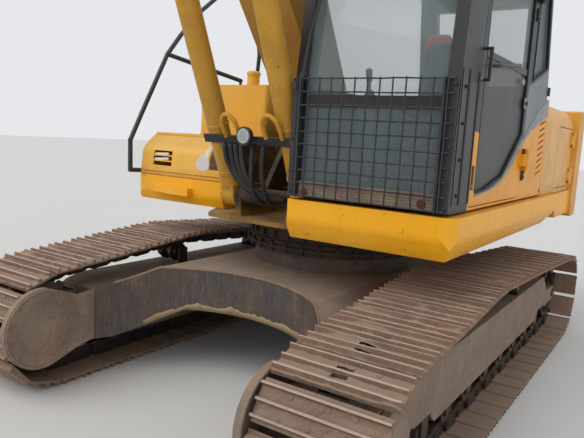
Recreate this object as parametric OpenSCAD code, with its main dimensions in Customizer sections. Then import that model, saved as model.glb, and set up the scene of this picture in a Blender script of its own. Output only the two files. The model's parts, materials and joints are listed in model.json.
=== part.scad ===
// Crawler excavator of the 21 tonne class, built as an assembly in millimetres.
// X points forward past the cab, Y to the machine's left and Z up. The modules draw about the
// slew axis at ground level, and placed() moves them so that the origin is under the middle of the part.

/* [Undercarriage] */
// Distance between the idler and sprocket centres
tumbler_l = 3640; // [3300:10:4000]
// Distance between the middles of the two tracks
gauge = 2390; // [2300:10:2500]
// Width of a track shoe
shoe_w = 600; // [560:10:650]
// Number of shoes on a track
shoe_n = 48; // [46:1:50]
// Height of a grouser above its shoe plate
grouser_h = 26; // [15:1:35]
// Thickness of a shoe plate
shoe_t = 10; // [8:1:14]
// Height of a chain link above its pin line, to the shoe plate
link_up = 54; // [45:1:60]
// Height of a chain link below its pin line, to the roller path
link_down = 48; // [40:1:54]
// Thickness of a chain rail
rail_t = 36; // [24:1:44]
// Distance of each chain rail from the middle of the track
rail_y = 88; // [80:1:96]
// Pitch radius of the sprocket
sprocket_r = 297; // [285:1:310]
// Pitch radius of the chain round the idler
idler_r = 285; // [275:1:300]
// Number of sprocket teeth
tooth_n = 21; // [19:1:23]
// Number of bottom rollers on a side
roller_n = 8; // [7:1:9]
// Radius of a bottom roller's tread
roller_r = 82; // [70:1:88]
// Radius of a carrier roller's tread
carrier_r = 64; // [50:1:75]
// Distance of the front carrier roller ahead of the slew axis
carrier_x = 560; // [400:10:800]
// Height of the chain's pin line over the front carrier roller
carrier_front_z = 802; // [780:1:815]
// Height of the chain's pin line over the rear carrier roller
carrier_rear_z = 742; // [730:1:760]
// Width of a track frame
side_frame_w = 300; // [280:10:320]
// Plate thickness of the undercarriage
frame_t = 14; // [10:1:20]
// Height of the centre frame's top plate
centre_top = 742; // [720:1:755]
// Height of the centre frame's bottom in the middle
centre_bottom = 452; // [440:1:480]
// Radius of the swing ring
ring_r = 640; // [600:10:660]

/* [Upper structure] */
// Underside of the deck
deck_bottom = 1084; // [1075:1:1095]
// Top of the deck
deck_top = 1314; // [1300:1:1325]
// Half width of the deck
deck_y = 1365; // [1340:5:1380]
// Front edge of the cab's deck
deck_front = 1205; // [1190:5:1215]
// Front edge of the deck under the toolbox
right_deck_front = 800; // [780:5:820]
// Tail swing radius
tail_r = 2750; // [2700:10:2800]
// Top of the engine hood and the counterweight
hood_top = 2050; // [2000:10:2100]
// Wall thickness of body panels
panel_t = 16; // [12:1:28]
// Half width of the gap that the boom swings in
slot_y = 362; // [360:1:375]

/* [Cab] */
// Inner side of the cab
cab_in = 368; // [366:1:375]
// Outer side of the cab
cab_out = 1320; // [1300:5:1330]
// Underside of the cab
cab_bottom = 1330; // [1322:1:1340]
// Top of the cab
cab_top = 2950; // [2850:10:3000]
// Front of the cab at its foot
cab_front = 1196; // [1190:1:1200]
// Rear of the cab at its foot
cab_rear = -860; // [-880:5:-840]
// Thickness of a cab pillar or wall
cab_t = 52; // [44:1:60]
// Thickness of a window pane
glass_t = 8; // [6:1:10]
// Rear edge of the cab door
door_rear = -180; // [-195:1:-165]
// Front edge of the cab door
door_front = 885; // [870:1:895]
// Clearance round a door or lid
door_gap = 6; // [5:1:8]

/* [Boom, arm and bucket] */
// Length of the boom between its pins
boom_l = 5680; // [5400:10:5800]
// Angle of the line between the boom's pins, at rest
boom_rest = 26; // [25:0.5:27]
// Width of the boom
boom_w = 370; // [350:2:374]
// Plate thickness of the boom and the arm
boom_t = 14; // [10:1:18]
// Boom foot pin ahead of the slew axis
foot_x = 262; // [255:1:270]
// Boom foot pin above the ground
foot_z = 1725; // [1715:1:1735]
// Radius of the boom foot pin
foot_pin_r = 50; // [44:1:54]
// Boom cylinder foot pin ahead of the slew axis
ram_x = 890; // [880:1:900]
// Boom cylinder foot pin above the ground
ram_z = 1262; // [1255:1:1270]
// Distance of each boom cylinder from the middle
ram_y = 280; // [278:1:282]
// Outer radius of a boom cylinder's barrel
ram_r = 70; // [64:1:72]
// Length of the arm between its pins
arm_l = 2920; // [2800:10:3000]
// Angle of the arm from straight down towards the machine, at rest
arm_rest = 4; // [3:0.5:5]
// Width of the arm
arm_w = 310; // [296:2:312]
// Outer radius of the arm cylinder's barrel
arm_ram_r = 80; // [72:1:84]
// Outer radius of the bucket cylinder's barrel
bucket_ram_r = 70; // [62:1:74]
// Distance from the bucket pin to the tooth tips
bucket_r = 1480; // [1440:10:1500]
// Outer width of the bucket
bucket_w = 1180; // [1000:10:1300]
// Plate thickness of the bucket
bucket_t = 22; // [16:1:28]
// Number of bucket teeth
tooth_count = 5; // [4:1:6]
// Running clearance of a pin in its bore
pin_gap = 0.5; // [0.3:0.1:1]
// Side clearance between moving lugs
lug_gap = 6; // [5:1:8]

/* [Hidden] */
$fn = 48;
// Gap left between two pieces that seat on each other
seat = 0.3;

// Heights and places that follow from the sizes above
pin_up = grouser_h + shoe_t + link_up;
tumbler_x = tumbler_l / 2;
sprocket_c = [tumbler_x, pin_up + sprocket_r];
idler_c = [-tumbler_x, pin_up + idler_r];
track_y = gauge / 2;
rail_top = pin_up + link_down;
side_in = track_y - side_frame_w / 2;
side_out = track_y + side_frame_w / 2;
carrier_front = [carrier_x, carrier_front_z];
carrier_rear = [-carrier_x, carrier_rear_z];

// Plane vectors in x and z
function turn(v, a) = [v[0] * cos(a) - v[1] * sin(a), v[0] * sin(a) + v[1] * cos(a)];
function polar(r, a) = [r * cos(a), r * sin(a)];
function heading(v) = atan2(v[1], v[0]);
function unit(v) = v / norm(v);
// Point at r1 from p and r2 from q, on the left of the line from p to q
function meet(p, r1, q, r2) =
    let (d = norm(q - p), a = (r1 * r1 - r2 * r2 + d * d) / (2 * d), h = sqrt(r1 * r1 - a * a),
        e = unit(q - p))
    p + e * a + [-e[1], e[0]] * h;
// Arc of n steps about c from angle a0 to a1
function arc(c, r, a0, a1, n) = [for (i = [0:n]) c + polar(r, a0 + (a1 - a0) * i / n)];
// Outline with rounded corners from rows of [x, y, corner radius]
function corner(p, q, s, r, n) =
    let (a = unit(p - q), b = unit(s - q), half = acos(a * b) / 2, c = q + unit(a + b) * r / sin(half),
        start = q + a * r / tan(half) - c, sweep = (a[0] * b[1] - a[1] * b[0] > 0 ? -1 : 1) * (180 - 2 * half))
    [for (i = [0:n]) c + turn(start, sweep * i / n)];
function rounded(rows, n = 5) = [
    for (i = [0:len(rows) - 1])
        let (m = len(rows), q = rows[i], p = rows[(i + m - 1) % m], s = rows[(i + 1) % m])
        each q[2] == 0 ? [[q[0], q[1]]]
            : corner([p[0], p[1]], [q[0], q[1]], [s[0], s[1]], q[2], n)];

// Places of the front attachment's pins, in the frame of the piece that carries them
ram_pin = polar(2536, 22.7);
arm_ram_foot = [3150, 1450];
arm_turn = 270 - arm_rest - boom_rest;
arm_tail = polar(780, 160.2);
bucket_ram_foot = [380, 470];
rocker_pin = [arm_l - 420, 20];
rocker_l = 620;
push_l = 590;
bucket_turn = -25.6;
push_pin = polar(440, bucket_turn + 98);
bucket_c = [arm_l, 0];
link_joint = meet(rocker_pin, rocker_l, bucket_c + push_pin, push_l);
boom_foot = [foot_x, foot_z];
ram_foot = [ram_x, ram_z];
boom_tip = boom_foot + polar(boom_l, boom_rest);
function from_boom(p) = boom_foot + turn(p, boom_rest);
function from_arm(p) = boom_tip + turn(p, 270 - arm_rest);
ram_eye = from_boom(ram_pin);
ram_len = norm(ram_eye - ram_foot);
ram_turn = heading(ram_eye - ram_foot);
arm_eye = [boom_l, 0] + turn(arm_tail, arm_turn);
arm_ram_len = norm(arm_eye - arm_ram_foot);
arm_ram_turn = heading(arm_eye - arm_ram_foot);
bucket_ram_len = norm(link_joint - bucket_ram_foot);
bucket_ram_turn = heading(link_joint - bucket_ram_foot);
link_end_r = 84;
reach_x = from_arm(link_joint)[0] + link_end_r;
origin_x = (reach_x - tail_r) / 2;

paint = [0.93, 0.62, 0.12];
dark = [0.12, 0.12, 0.13];
steel = [0.62, 0.62, 0.6];
mud = [0.42, 0.34, 0.27];

module placed() {
    translate([-origin_x, 0, 0]) children();
}
// A side profile in x and z, w wide about the plane y
module slab(w, y = 0) {
    translate([0, y, 0]) rotate([90, 0, 0]) linear_extrude(height = w, center = true) children();
}
module bar(r, w, p, y = 0, fn = 48) {
    translate([p[0], y, p[1]]) rotate([90, 0, 0]) cylinder(r = r, h = w, center = true, $fn = fn);
}
module block(lo, hi) {
    translate(lo) cube(hi - lo);
}
module other_side() {
    mirror([0, 1, 0]) children();
}
module boom_frame() {
    translate([foot_x, 0, foot_z]) rotate([0, -boom_rest, 0]) children();
}
module arm_frame() {
    translate([boom_tip[0], 0, boom_tip[1]]) rotate([0, arm_rest - 270, 0]) children();
}
// Tube through points in x, y and z, with round joints
module tube(points, r) {
    for (i = [0:len(points) - 2]) {
        v = points[i + 1] - points[i];
        translate(points[i])
            rotate([0, acos(v[2] / norm(v)), atan2(v[1], v[0])])
                cylinder(r = r, h = norm(v), $fn = 24);
        translate(points[i + 1]) sphere(r = r * 1.06, $fn = 24);
    }
}

// Track chain: the pin line is two arcs joined by a bottom run and three top runs
front_touch = heading(carrier_front - sprocket_c) - acos(sprocket_r / norm(carrier_front - sprocket_c));
rear_touch = heading(carrier_rear - idler_c) + acos(idler_r / norm(carrier_rear - idler_c));
run_points = [[-tumbler_x, pin_up], [tumbler_x, pin_up], sprocket_c + polar(sprocket_r, front_touch),
    carrier_front, carrier_rear, idler_c + polar(idler_r, rear_touch)];
arc_front = sprocket_r * (front_touch + 90) * PI / 180;
arc_rear = idler_r * (270 - rear_touch) * PI / 180;
leg = [tumbler_l, arc_front, norm(run_points[3] - run_points[2]), norm(run_points[4] - run_points[3]),
    norm(run_points[5] - run_points[4]), arc_rear];
function upto(i) = i == 0 ? 0 : leg[i - 1] + upto(i - 1);
loop_l = upto(6);
shoe_p = loop_l / shoe_n;
function on_run(p, q, s) = [p + unit(q - p) * s, heading(q - p)];
function on_arc(c, r, a, s) = [c + polar(r, a + s / r * 180 / PI), a + s / r * 180 / PI + 90];
// Place and heading at distance s along the pin line
function on_loop(s) =
    s < upto(1) ? on_run(run_points[0], run_points[1], s)
    : s < upto(2) ? on_arc(sprocket_c, sprocket_r, -90, s - upto(1))
    : s < upto(3) ? on_run(run_points[2], run_points[3], s - upto(2))
    : s < upto(4) ? on_run(run_points[3], run_points[4], s - upto(3))
    : s < upto(5) ? on_run(run_points[4], run_points[5], s - upto(4))
    : on_arc(idler_c, idler_r, rear_touch, s - upto(5));
// Outline at distance h outside the pin line
function loop_outline(h) = concat(
    arc(sprocket_c, sprocket_r + h, -90, front_touch, 9),
    [carrier_front + [0, h], carrier_rear + [0, h]],
    arc(idler_c, idler_r + h, rear_touch, 270, 9));
// One shoe from its back edge to its front edge: distance along, height over the pin line
plate_up = link_up + shoe_t;
shoe_rows = [[-0.49, plate_up], [-0.40, plate_up], [-0.37, pin_up], [-0.33, plate_up],
    [-0.04, plate_up], [0, pin_up - 2], [0.04, plate_up],
    [0.33, plate_up], [0.37, pin_up], [0.40, plate_up], [0.49, plate_up]];
shoe_outline = [for (i = [0:shoe_n - 1]) let (at = on_loop((i + 0.5) * shoe_p))
    each [for (row = shoe_rows) at[0] + turn([row[0] * shoe_p, -row[1]], at[1])]];

module track() {
    color(mud) {
        slab(shoe_w, track_y) difference() {
            intersection() {
                polygon(shoe_outline);
                translate([-2 * tumbler_x, 0]) square([4 * tumbler_x, 1200]);
            }
            polygon(loop_outline(link_up));
        }
        for (side = [-1, 1]) slab(rail_t, track_y + side * rail_y) difference() {
            polygon(loop_outline(link_up + shoe_t / 2));
            polygon(loop_outline(-link_down));
        }
    }
}
module track_left() { track(); }
module track_right() { other_side() track(); }

// Track frame: hollow box with a sloped top, idler yoke, motor casing and its round-rimmed guard
frame_low = rail_top + 2 * roller_r + 24;
frame_high = 600;
frame_back = -tumbler_x + 330;
frame_front = tumbler_x - 330;
guard_c = [1962, 430];
guard_r = 250;
guard_y = 846;
hub_r = 185;
module frame_side_profile(t) {
    polygon(rounded([[frame_back + t, frame_low + t, 40], [frame_front - t, frame_low + t, 40],
        [frame_front - t, frame_high - 40 - t, 60], [frame_front - 170, frame_high - t, 60],
        [frame_back + 150, frame_high - t, 60], [frame_back + t, frame_high - 110 - t, 60]]));
}
module guard_profile(t) {
    polygon(concat([[1595 + t, 276 + t], [1700, 262 + t]], arc(guard_c, guard_r - t, -104, 96, 20),
        [[1700, 590 - t], [1595 + t, 600 - t]]));
}
module track_frame() {
    color(mud) {
        leg_roots();
        difference() {
            slab(side_frame_w, track_y) frame_side_profile(0);
            slab(side_frame_w - 2 * frame_t, track_y) frame_side_profile(frame_t);
            // Room for the rear carrier roller
            bar(carrier_r + 24, 250, carrier_axis(carrier_rear), track_y);
        }
        // Roller guards along the lower edge
        for (side = [-1, 1]) slab(16, track_y + side * (side_frame_w / 2 - 8))
            polygon(rounded([[-1180, frame_low - 70, 20], [1180, frame_low - 70, 20],
                [1260, frame_low + 10, 20], [-1260, frame_low + 10, 20]]));
        // Idler yoke
        for (side = [-1, 1]) slab(34, track_y + side * 133) difference() {
            polygon(rounded([[idler_c[0] - 60, idler_c[1] - 55, 50], [frame_back + 10, idler_c[1] - 75, 20],
                [frame_back + 10, idler_c[1] + 75, 20], [idler_c[0] - 60, idler_c[1] + 55, 50]]));
            translate(idler_c) circle(r = 40.5);
        }
        // Drive bracket and motor casing
        difference() {
            slab(side_frame_w, track_y) polygon(concat([[frame_front - 20, frame_low + 20]],
                arc(sprocket_c, hub_r + 30, -60, 60, 8), [[frame_front - 20, frame_high - 60]]));
            slab(150, track_y) translate(sprocket_c) circle(r = sprocket_r + 24);
            slab(side_frame_w + 2, track_y) translate(sprocket_c) circle(r = hub_r - 20);
        }
        bar(hub_r - 32, side_in - guard_y - 8, sprocket_c, (side_in + guard_y + 10) / 2);
        bar(hub_r + 20, 12, sprocket_c, side_in - 5);
        // Motor guard with a rim
        difference() {
            slab(40, guard_y + 20) guard_profile(0);
            slab(40, guard_y + 30) guard_profile(12);
        }
    }
}
module track_frame_left() { track_frame(); }
module track_frame_right() { other_side() track_frame(); }

// Sprocket ring with teeth, and the final drive's stepped hub
module sprocket() {
    color(mud) {
        difference() {
            slab(56, track_y) {
                translate(sprocket_c) circle(r = sprocket_r - 34);
                for (i = [0:tooth_n - 1]) translate(sprocket_c) rotate(i * 360 / tooth_n)
                    polygon([[sprocket_r - 60, -30], [sprocket_r + 10, -11],
                        [sprocket_r + 10, 11], [sprocket_r - 60, 30]]);
            }
            bar(hub_r - 60, 60, sprocket_c, track_y);
        }
        translate([sprocket_c[0], track_y, sprocket_c[1]]) rotate([-90, 0, 0])
            rotate_extrude($fn = 64) polygon([[0, 1 + seat - side_frame_w / 2],
                [hub_r - 22, 1 + seat - side_frame_w / 2], [hub_r - 22, side_frame_w / 2 + 2],
                [hub_r - 6, side_frame_w / 2 + 8], [hub_r - 6, 196],
                [hub_r - 40, 214], [70, 220], [0, 220]]);
    }
}
module sprocket_left() { sprocket(); }
module sprocket_right() { other_side() sprocket(); }

// Idler, bottom rollers and carrier rollers of a side
module roller(p, r, half) {
    translate([p[0], track_y, p[1]]) rotate([-90, 0, 0]) rotate_extrude($fn = 40)
        polygon([[0, -half], [34, -half], [34, -half + 14], [r, -half + 14], [r, -rail_y + rail_t / 2 + 4],
            [r + 16, -rail_y + rail_t / 2 + 8], [r + 10, -30], [r - 12, -24], [r - 12, 24], [r + 10, 30],
            [r + 16, rail_y - rail_t / 2 - 8], [r, rail_y - rail_t / 2 - 4], [r, half - 14],
            [34, half - 14], [34, half], [0, half]]);
}
roller_span = 2 * (tumbler_x - 560);
function carrier_axis(p) = [p[0], p[1] - link_down - carrier_r - 1];
// The chain's rails meet the idler as chords, so its tread is a little smaller
idler_tread = (idler_r - link_down) * cos((270 - rear_touch) / 18) - seat;
module rollers() {
    color(mud) {
        for (i = [0:roller_n - 1]) {
            x = -roller_span / 2 + roller_span * i / (roller_n - 1);
            z = rail_top + roller_r + seat;
            roller([x, z], roller_r, side_frame_w / 2 - 16 - seat);
            // Collars that hang the roller's axle under the frame
            for (side = [-1, 1]) slab(13 - seat, track_y + side * (side_frame_w / 2 - 22.5 - seat / 2))
                polygon([[x - 40, z - 34], [x + 40, z - 34],
                    [x + 52, frame_low - seat], [x - 52, frame_low - seat]]);
        }
        for (p = [carrier_front, carrier_rear]) {
            roller(carrier_axis(p), carrier_r, 118);
            // Stand on the inner side of the frame's top
            block([p[0] - 45, track_y - 136, frame_high + seat],
                [p[0] + 45, track_y - 116, carrier_axis(p)[1] + 34]);
        }
        translate([idler_c[0], track_y, idler_c[1]]) rotate([-90, 0, 0]) rotate_extrude($fn = 64)
            polygon([[0, -160], [40, -160], [40, -112], [90, -112], [90, -60], [150, -30], [190, -30],
                [200, -104], [idler_tread, -104], [idler_tread, -64],
                [idler_r - 24, -56], [idler_r - 24, 56], [idler_tread, 64],
                [idler_tread, 104], [200, 104], [190, 30], [150, 30], [90, 60],
                [90, 112], [40, 112], [40, 160], [0, 160]]);
    }
}
module rollers_left() { rollers(); }
module rollers_right() { other_side() rollers(); }

// Centre frame: hollow X-shaped box between the track frames, its front and rear webs hollowed in plan
web_r = 897;
web_x = 1887;
leg_x = 1590;
// The weld between the centre frame and the legs' roots, and the roots' reach into the track frame's wall
root_y = 850;
root_end = side_in + 2;
module centre_plan(t) {
    difference() {
        square([2 * leg_x - 2 * t, 2 * root_end + 2 * (t > 0 ? 1 : 0)], center = true);
        for (side = [-1, 1]) translate([side * web_x, 0]) circle(r = web_r + t, $fn = 96);
        for (side = [-1, 1]) translate([0, side * (side_in + 470)]) circle(r = 720 + t, $fn = 96);
    }
}
module centre_section(t) {
    polygon([[-root_end, 268 + t], [-800, 272 + t], [-480, centre_bottom + t], [480, centre_bottom + t],
        [800, 272 + t], [root_end, 268 + t], [root_end, 598 - t], [870, 604 - t],
        [620, centre_top - t], [-620, centre_top - t], [-870, 604 - t], [-root_end, 598 - t]]);
}
module centre_box() {
    difference() {
        union() {
            intersection() {
                linear_extrude(height = 1000) centre_plan(0);
                rotate([90, 0, 90]) linear_extrude(height = 4000, center = true) centre_section(0);
            }
            translate([0, 0, centre_top - 60]) cylinder(r = ring_r - 40, h = 60 + drum_h, $fn = 96);
        }
        intersection() {
            linear_extrude(height = 1000) centre_plan(frame_t);
            rotate([90, 0, 90]) linear_extrude(height = 4000, center = true) centre_section(frame_t);
        }
        cylinder(r = ring_r - 150, h = 1200, $fn = 96);
        for (x = [-1, 1]) for (y = [-1, 1]) translate([x * 520, y * 640, 200]) cylinder(r = 90, h = 250);
    }
}
module center_frame() {
    color(mud) intersection() {
        centre_box();
        block([-leg_x - 10, -root_y, 0], [leg_x + 10, root_y, 1200]);
    }
}
// Outer ends of the legs on one side, which are part of the track frame
module leg_roots() {
    intersection() {
        centre_box();
        block([-leg_x - 10, root_y, 0], [leg_x + 10, root_end, 1200]);
    }
}
// Swing ring: a fixed ring below and a turning ring above, each with its bolts
drum_h = 110;
ring_z = centre_top + drum_h;
ring_low_h = 84;
module ring(z0, z1, r, bolt_n) {
    difference() {
        union() {
            translate([0, 0, z0]) cylinder(r = r, h = z1 - z0, $fn = 96);
            for (i = [0:bolt_n - 1]) rotate(i * 360 / bolt_n)
                translate([r + 14, 0, (z0 + z1) / 2]) cylinder(r = 15, h = (z1 - z0) * 0.8, center = true, $fn = 6);
            translate([0, 0, (z0 + z1) / 2 - 8]) cylinder(r = r + 24, h = 16, $fn = 96);
        }
        translate([0, 0, z0 - 1]) cylinder(r = r - 130, h = z1 - z0 + 2, $fn = 96);
    }
}
module swing_ring_lower() {
    color(dark) ring(ring_z + seat, ring_z + ring_low_h, ring_r, 32);
}
module swing_ring_upper() {
    color(dark) ring(ring_z + ring_low_h + seat, base_z - seat, ring_r - 20, 32);
}

// Revolving frame: base plate, two tall boom brackets, nose for the boom cylinders and tail beams
base_t = 28;
base_z = deck_bottom + 10;
bracket_t = 40;
bracket_y = boom_w / 2 + lug_gap + bracket_t / 2;
// Width of a boom cylinder's foot eye, and the two nose plates inside it
ram_w = 100;
nose_t = 45;
nose_y = ram_y - ram_w / 2 - 5 - nose_t / 2;
beam_h = deck_top - panel_t - seat - base_z;
beam_x = [-1050, -200, 420];
module base_plan(t) {
    polygon(rounded([[tail_x + seat - t, -620 - t, 60], [500, -700 - t, 60], [980 + t, -440 - t, 60],
        [1010 + t, 340 + t, 40], [500, 700 + t, 60], [tail_x + seat - t, 620 + t, 60]]));
}
module revolving_frame() {
    color(paint) difference() {
        union() {
            translate([0, 0, base_z]) linear_extrude(height = base_t) base_plan(0);
            for (side = [-1, 1]) slab(bracket_t, side * bracket_y)
                polygon(concat([[-1180, base_z + base_t - 1], [760, base_z + base_t - 1]],
                    arc(boom_foot, 125, -20, 150, 10), [[-420, 1480], [-1180, 1280]]));
            bar(foot_pin_r, 2 * bracket_y + bracket_t + 40, boom_foot);
            // Two plates that carry the boom cylinders, with a cross tube
            for (side = [-1, 1]) slab(nose_t, side * nose_y) polygon(concat([[ram_x - 315, base_z + 10],
                [ram_x + 45, base_z + 10]], arc(ram_foot, 58, -10, 110, 8), [[ram_x - 255, ram_z - 42]]));
            bar(56, 2 * nose_y, ram_foot);
            bar(42, 2 * ram_y + ram_w + 34, ram_foot);
            for (side = [-1, 1]) bar(58, 12, ram_foot, side * (ram_y + ram_w / 2 + 11));
            // Deck beams to both sides
            for (x = beam_x) block([x - 40, -deck_y + 90, base_z], [x + 40, deck_y - 90, base_z + beam_h]);
        }
        translate([0, 0, base_z - 1]) cylinder(r = 300, h = base_t + 1);
    }
}

// Deck skirts: hollow rims under the cab and down both sides, open below, with a bend in their faces
skirt_bend = deck_bottom + 110;
skirt_in = 55;
skirt_back = -1560;
rear_step = 24;
// Plan, side view and front view of a rim whose outer side is at y1, each t inside the rim's faces
module rim(x1, y0, y1, z0, t) {
    lead = skirt_in * (skirt_bend - z0) / (skirt_bend - deck_bottom);
    intersection() {
        translate([0, 0, z0 - (t > 0 ? 1 : 0)]) linear_extrude(height = deck_top - z0 - (t > 0 ? t - 1 : 0))
            polygon(rounded([[x1 - t, y0 + t, 20], [x1 - t, y1 - t, 80], [skirt_back + t, y1 - t, 8],
                [skirt_back + t, y0 + 280 + t, 20]]));
        slab(4000) polygon(rounded([[skirt_back + t, deck_top + 1, 0], [x1 - t, deck_top + 1, 0],
            [x1 - t, skirt_bend, 120], [x1 - lead - t, z0, 0], [x1 - lead - t, z0 - 2, 0],
            [-1110 + t, z0 - 2, 0], [-1110 + t, z0, 0], [-1400 + t, 1160 + t, 60], [skirt_back + t, 1290 + t, 0]]));
        across(-2000, 1500) polygon(rounded([[-100, deck_top + 1, 0], [y1 - t, deck_top + 1, 0],
            [y1 - t, skirt_bend, 120], [y1 - lead - t, z0, 0], [y1 - lead - t, z0 - 2, 0], [-100, z0 - 2, 0]]));
    }
}
// Rear part under the body, set back from the rim before it
module rear_rim(t) {
    translate([0, 0, deck_bottom + 16 - (t > 0 ? 1 : 0)])
        linear_extrude(height = deck_top - deck_bottom - 16 - (t > 0 ? t - 1 : 0))
            polygon([[-1480 - t, 640 + t], [-1480 - t, deck_y - rear_step - t], [tail_x + seat + t, deck_y - rear_step - t],
                [tail_x + seat + t, 640 + t]]);
}
module deck_skirts() {
    color(paint) difference() {
        union() {
            rim(deck_front, slot_y, deck_y, deck_bottom, 0);
            rear_rim(0);
            other_side() rim(right_deck_front, 470, deck_y, deck_bottom + 40, 0);
            other_side() rear_rim(0);
        }
        rim(deck_front, slot_y, deck_y, deck_bottom, panel_t);
        rear_rim(panel_t);
        other_side() rim(right_deck_front, 470, deck_y, deck_bottom + 40, panel_t);
        other_side() rear_rim(panel_t);
        // Room for the base plate and the deck beams
        translate([0, 0, base_z - 60]) linear_extrude(height = 60 + base_t + seat) base_plan(seat);
        for (x = beam_x) block([x - 46, -deck_y + 84, base_z - 60], [x + 46, deck_y - 84, base_z + beam_h + seat]);
    }
}

// Cab: shell with pillars, windows and the door opening. Its rear leans forward above the belt
cab_belt = 2060;
cab_lean = 275;
cab_rows = [[cab_rear, cab_bottom, 20], [cab_front, cab_bottom, 20], [cab_front - 18, 1990, 0],
    [cab_front - 70, 2430, 300], [1010, cab_top - 30, 160], [640, cab_top, 100],
    [cab_rear + cab_lean, cab_top, 120], [cab_rear + 76, cab_belt, 60], [cab_rear, cab_belt - 100, 60]];
module cab_profile(t) {
    polygon(rounded([for (row = cab_rows) [row[0] + (row[0] > 300 ? -t : t),
        row[1] + (row[1] > 2600 ? -t : row[1] < 1400 ? t : 0), row[2] == 0 ? 0 : max(row[2] - t, 4)]]));
}
sill = cab_bottom + 76;
door_rows = [[door_rear, cab_bottom + 20, 70], [door_front, cab_bottom + 20, 20],
    [door_front - 8, 1990, 0], [door_front - 30, 2430, 200], [door_front - 140, cab_top - 110, 60],
    [door_rear, cab_top - 110, 60]];
// The door's window dips towards the front along the trim line
function door_window(t) = [[door_rear + 50 - t, 1770 - t, 30], [door_rear + 450 - t, 1500 - t, 80],
    [door_front - 245, 1425 - t, 60], [door_front - 75 + t, 1425 - t, 30], [door_front - 80 + t, 2430, 100],
    [door_front - 185 + t, cab_top - 180 + t, 60], [door_rear + 50 - t, cab_top - 180 + t, 30]];
function inset(rows, t, mx, mz) = [for (row = rows) [row[0] + (row[0] > mx ? -t : t), row[1] + (row[1] > mz ? -t : t),
    row[2] == 0 ? 0 : max(row[2] - t, 4)]];
module door_profile(t) {
    polygon(rounded(inset(door_rows, t, 300, 2000)));
}
quarter_rows = [[cab_rear + 180, 2262, 20], [door_rear - 80, 2130, 30], [door_rear - 80, cab_top - 130, 30],
    [cab_rear + 320, cab_top - 150, 60]];
// Louvres in the cab's side below the quarter window
louvre = [cab_rear + 125, 1505];
louvre_l = 170;
louvre_p = 46;
louvre_n = 9;
// Hinge knuckles on an upright pin: the middle one moves and the outer two are fixed
knuckle_h = 80;
module moving_knuckle(x, y, z) {
    translate([x, y, z - knuckle_h / 2]) cylinder(r = 14, h = knuckle_h);
}
module fixed_knuckles(x, y, z, wall_y, back) {
    for (side = [-1, 1]) translate([0, 0, z + side * (knuckle_h / 2 + seat + 16)]) {
        translate([x, y, 0]) cylinder(r = 14, h = 32, center = true);
        block([min(x, x + back), min(wall_y, y), -16], [max(x, x + back), max(wall_y, y), 16]);
    }
}
door_hinge_z = [cab_bottom + 270, cab_top - 250];
// Window of the cab's inner side, and the rear window's foot and head
inner_rows = [[cab_rear + 220, 1960, 60], [1040, 1960, 60], [930, cab_top - 150, 60],
    [cab_rear + 350, cab_top - 150, 60]];
rear_window = [2140, cab_top - 260];
module cab_shell() {
    color(dark) {
        // Cab mounts on the deck
        for (x = [cab_rear + 140, cab_front - 140]) for (y = [cab_in + 120, cab_out - 120])
            translate([x, y, deck_top + seat]) cylinder(r = 60, h = cab_bottom + 4 - deck_top - seat);
        for (z = door_hinge_z) fixed_knuckles(door_rear - 12, hinge_y, z, cab_out - 4, -50);
    }
    color(dark) difference() {
        slab(cab_out - cab_in, (cab_in + cab_out) / 2) cab_profile(0);
        slab(cab_out - cab_in - 2 * cab_t, (cab_in + cab_out) / 2) cab_profile(cab_t);
        // Windscreen and lower front window
        block([1000, cab_in + 70, 1906], [1300, cab_out - 70, cab_top - 150]);
        block([1000, cab_in + 70, sill], [1300, cab_out - 70, 1850]);
        // Door opening, quarter window, inner side window and rear window
        slab(200, cab_out) door_profile(-door_gap);
        slab(200, cab_out) polygon(rounded(quarter_rows));
        slab(200, cab_in) polygon(rounded(inner_rows));
        block([cab_rear - 100, cab_in + 110, rear_window[0]], [cab_rear + 330, cab_out - 110, rear_window[1]]);
        // Roof hatch
        block([-200, cab_in + 180, cab_top - 100], [420, cab_out - 180, cab_top + 10]);
        for (i = [0:louvre_n - 1]) translate([louvre[0], cab_out, louvre[1] + louvre_p * i]) rotate([0, 12, 0])
            cube([louvre_l, 60, 16], center = true);
    }
}
module pane(y, rows) {
    slab(glass_t, y) polygon(rounded(rows));
}
module cab_glass() {
    color([0.7, 0.8, 0.8, 0.4]) {
        // Windscreen, lower front window and rear window follow the cab's profile
        intersection() {
            difference() {
                slab(cab_out - cab_in - 140.6, (cab_in + cab_out) / 2) cab_profile(16);
                slab(cab_out - cab_in, (cab_in + cab_out) / 2) cab_profile(16 + glass_t);
            }
            union() {
                block([980, cab_in, 1906.3], [1300, cab_out, cab_top - 150.3]);
                block([1100, cab_in, sill + 0.3], [1300, cab_out, 1849.7]);
                block([cab_rear, cab_in + 110.3, rear_window[0] + 0.3],
                    [cab_rear + 330, cab_out - 110.3, rear_window[1] - 0.3]);
            }
        }
        pane(cab_out - 20, inset(quarter_rows, 0.3, -400, 2300));
        pane(cab_in + 20, inset(inner_rows, 0.4, 0, 2300));
        block([-199.7, cab_in + 180.3, cab_top - 30], [419.7, cab_out - 180.3, cab_top - 30 + glass_t]);
    }
}
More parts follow.
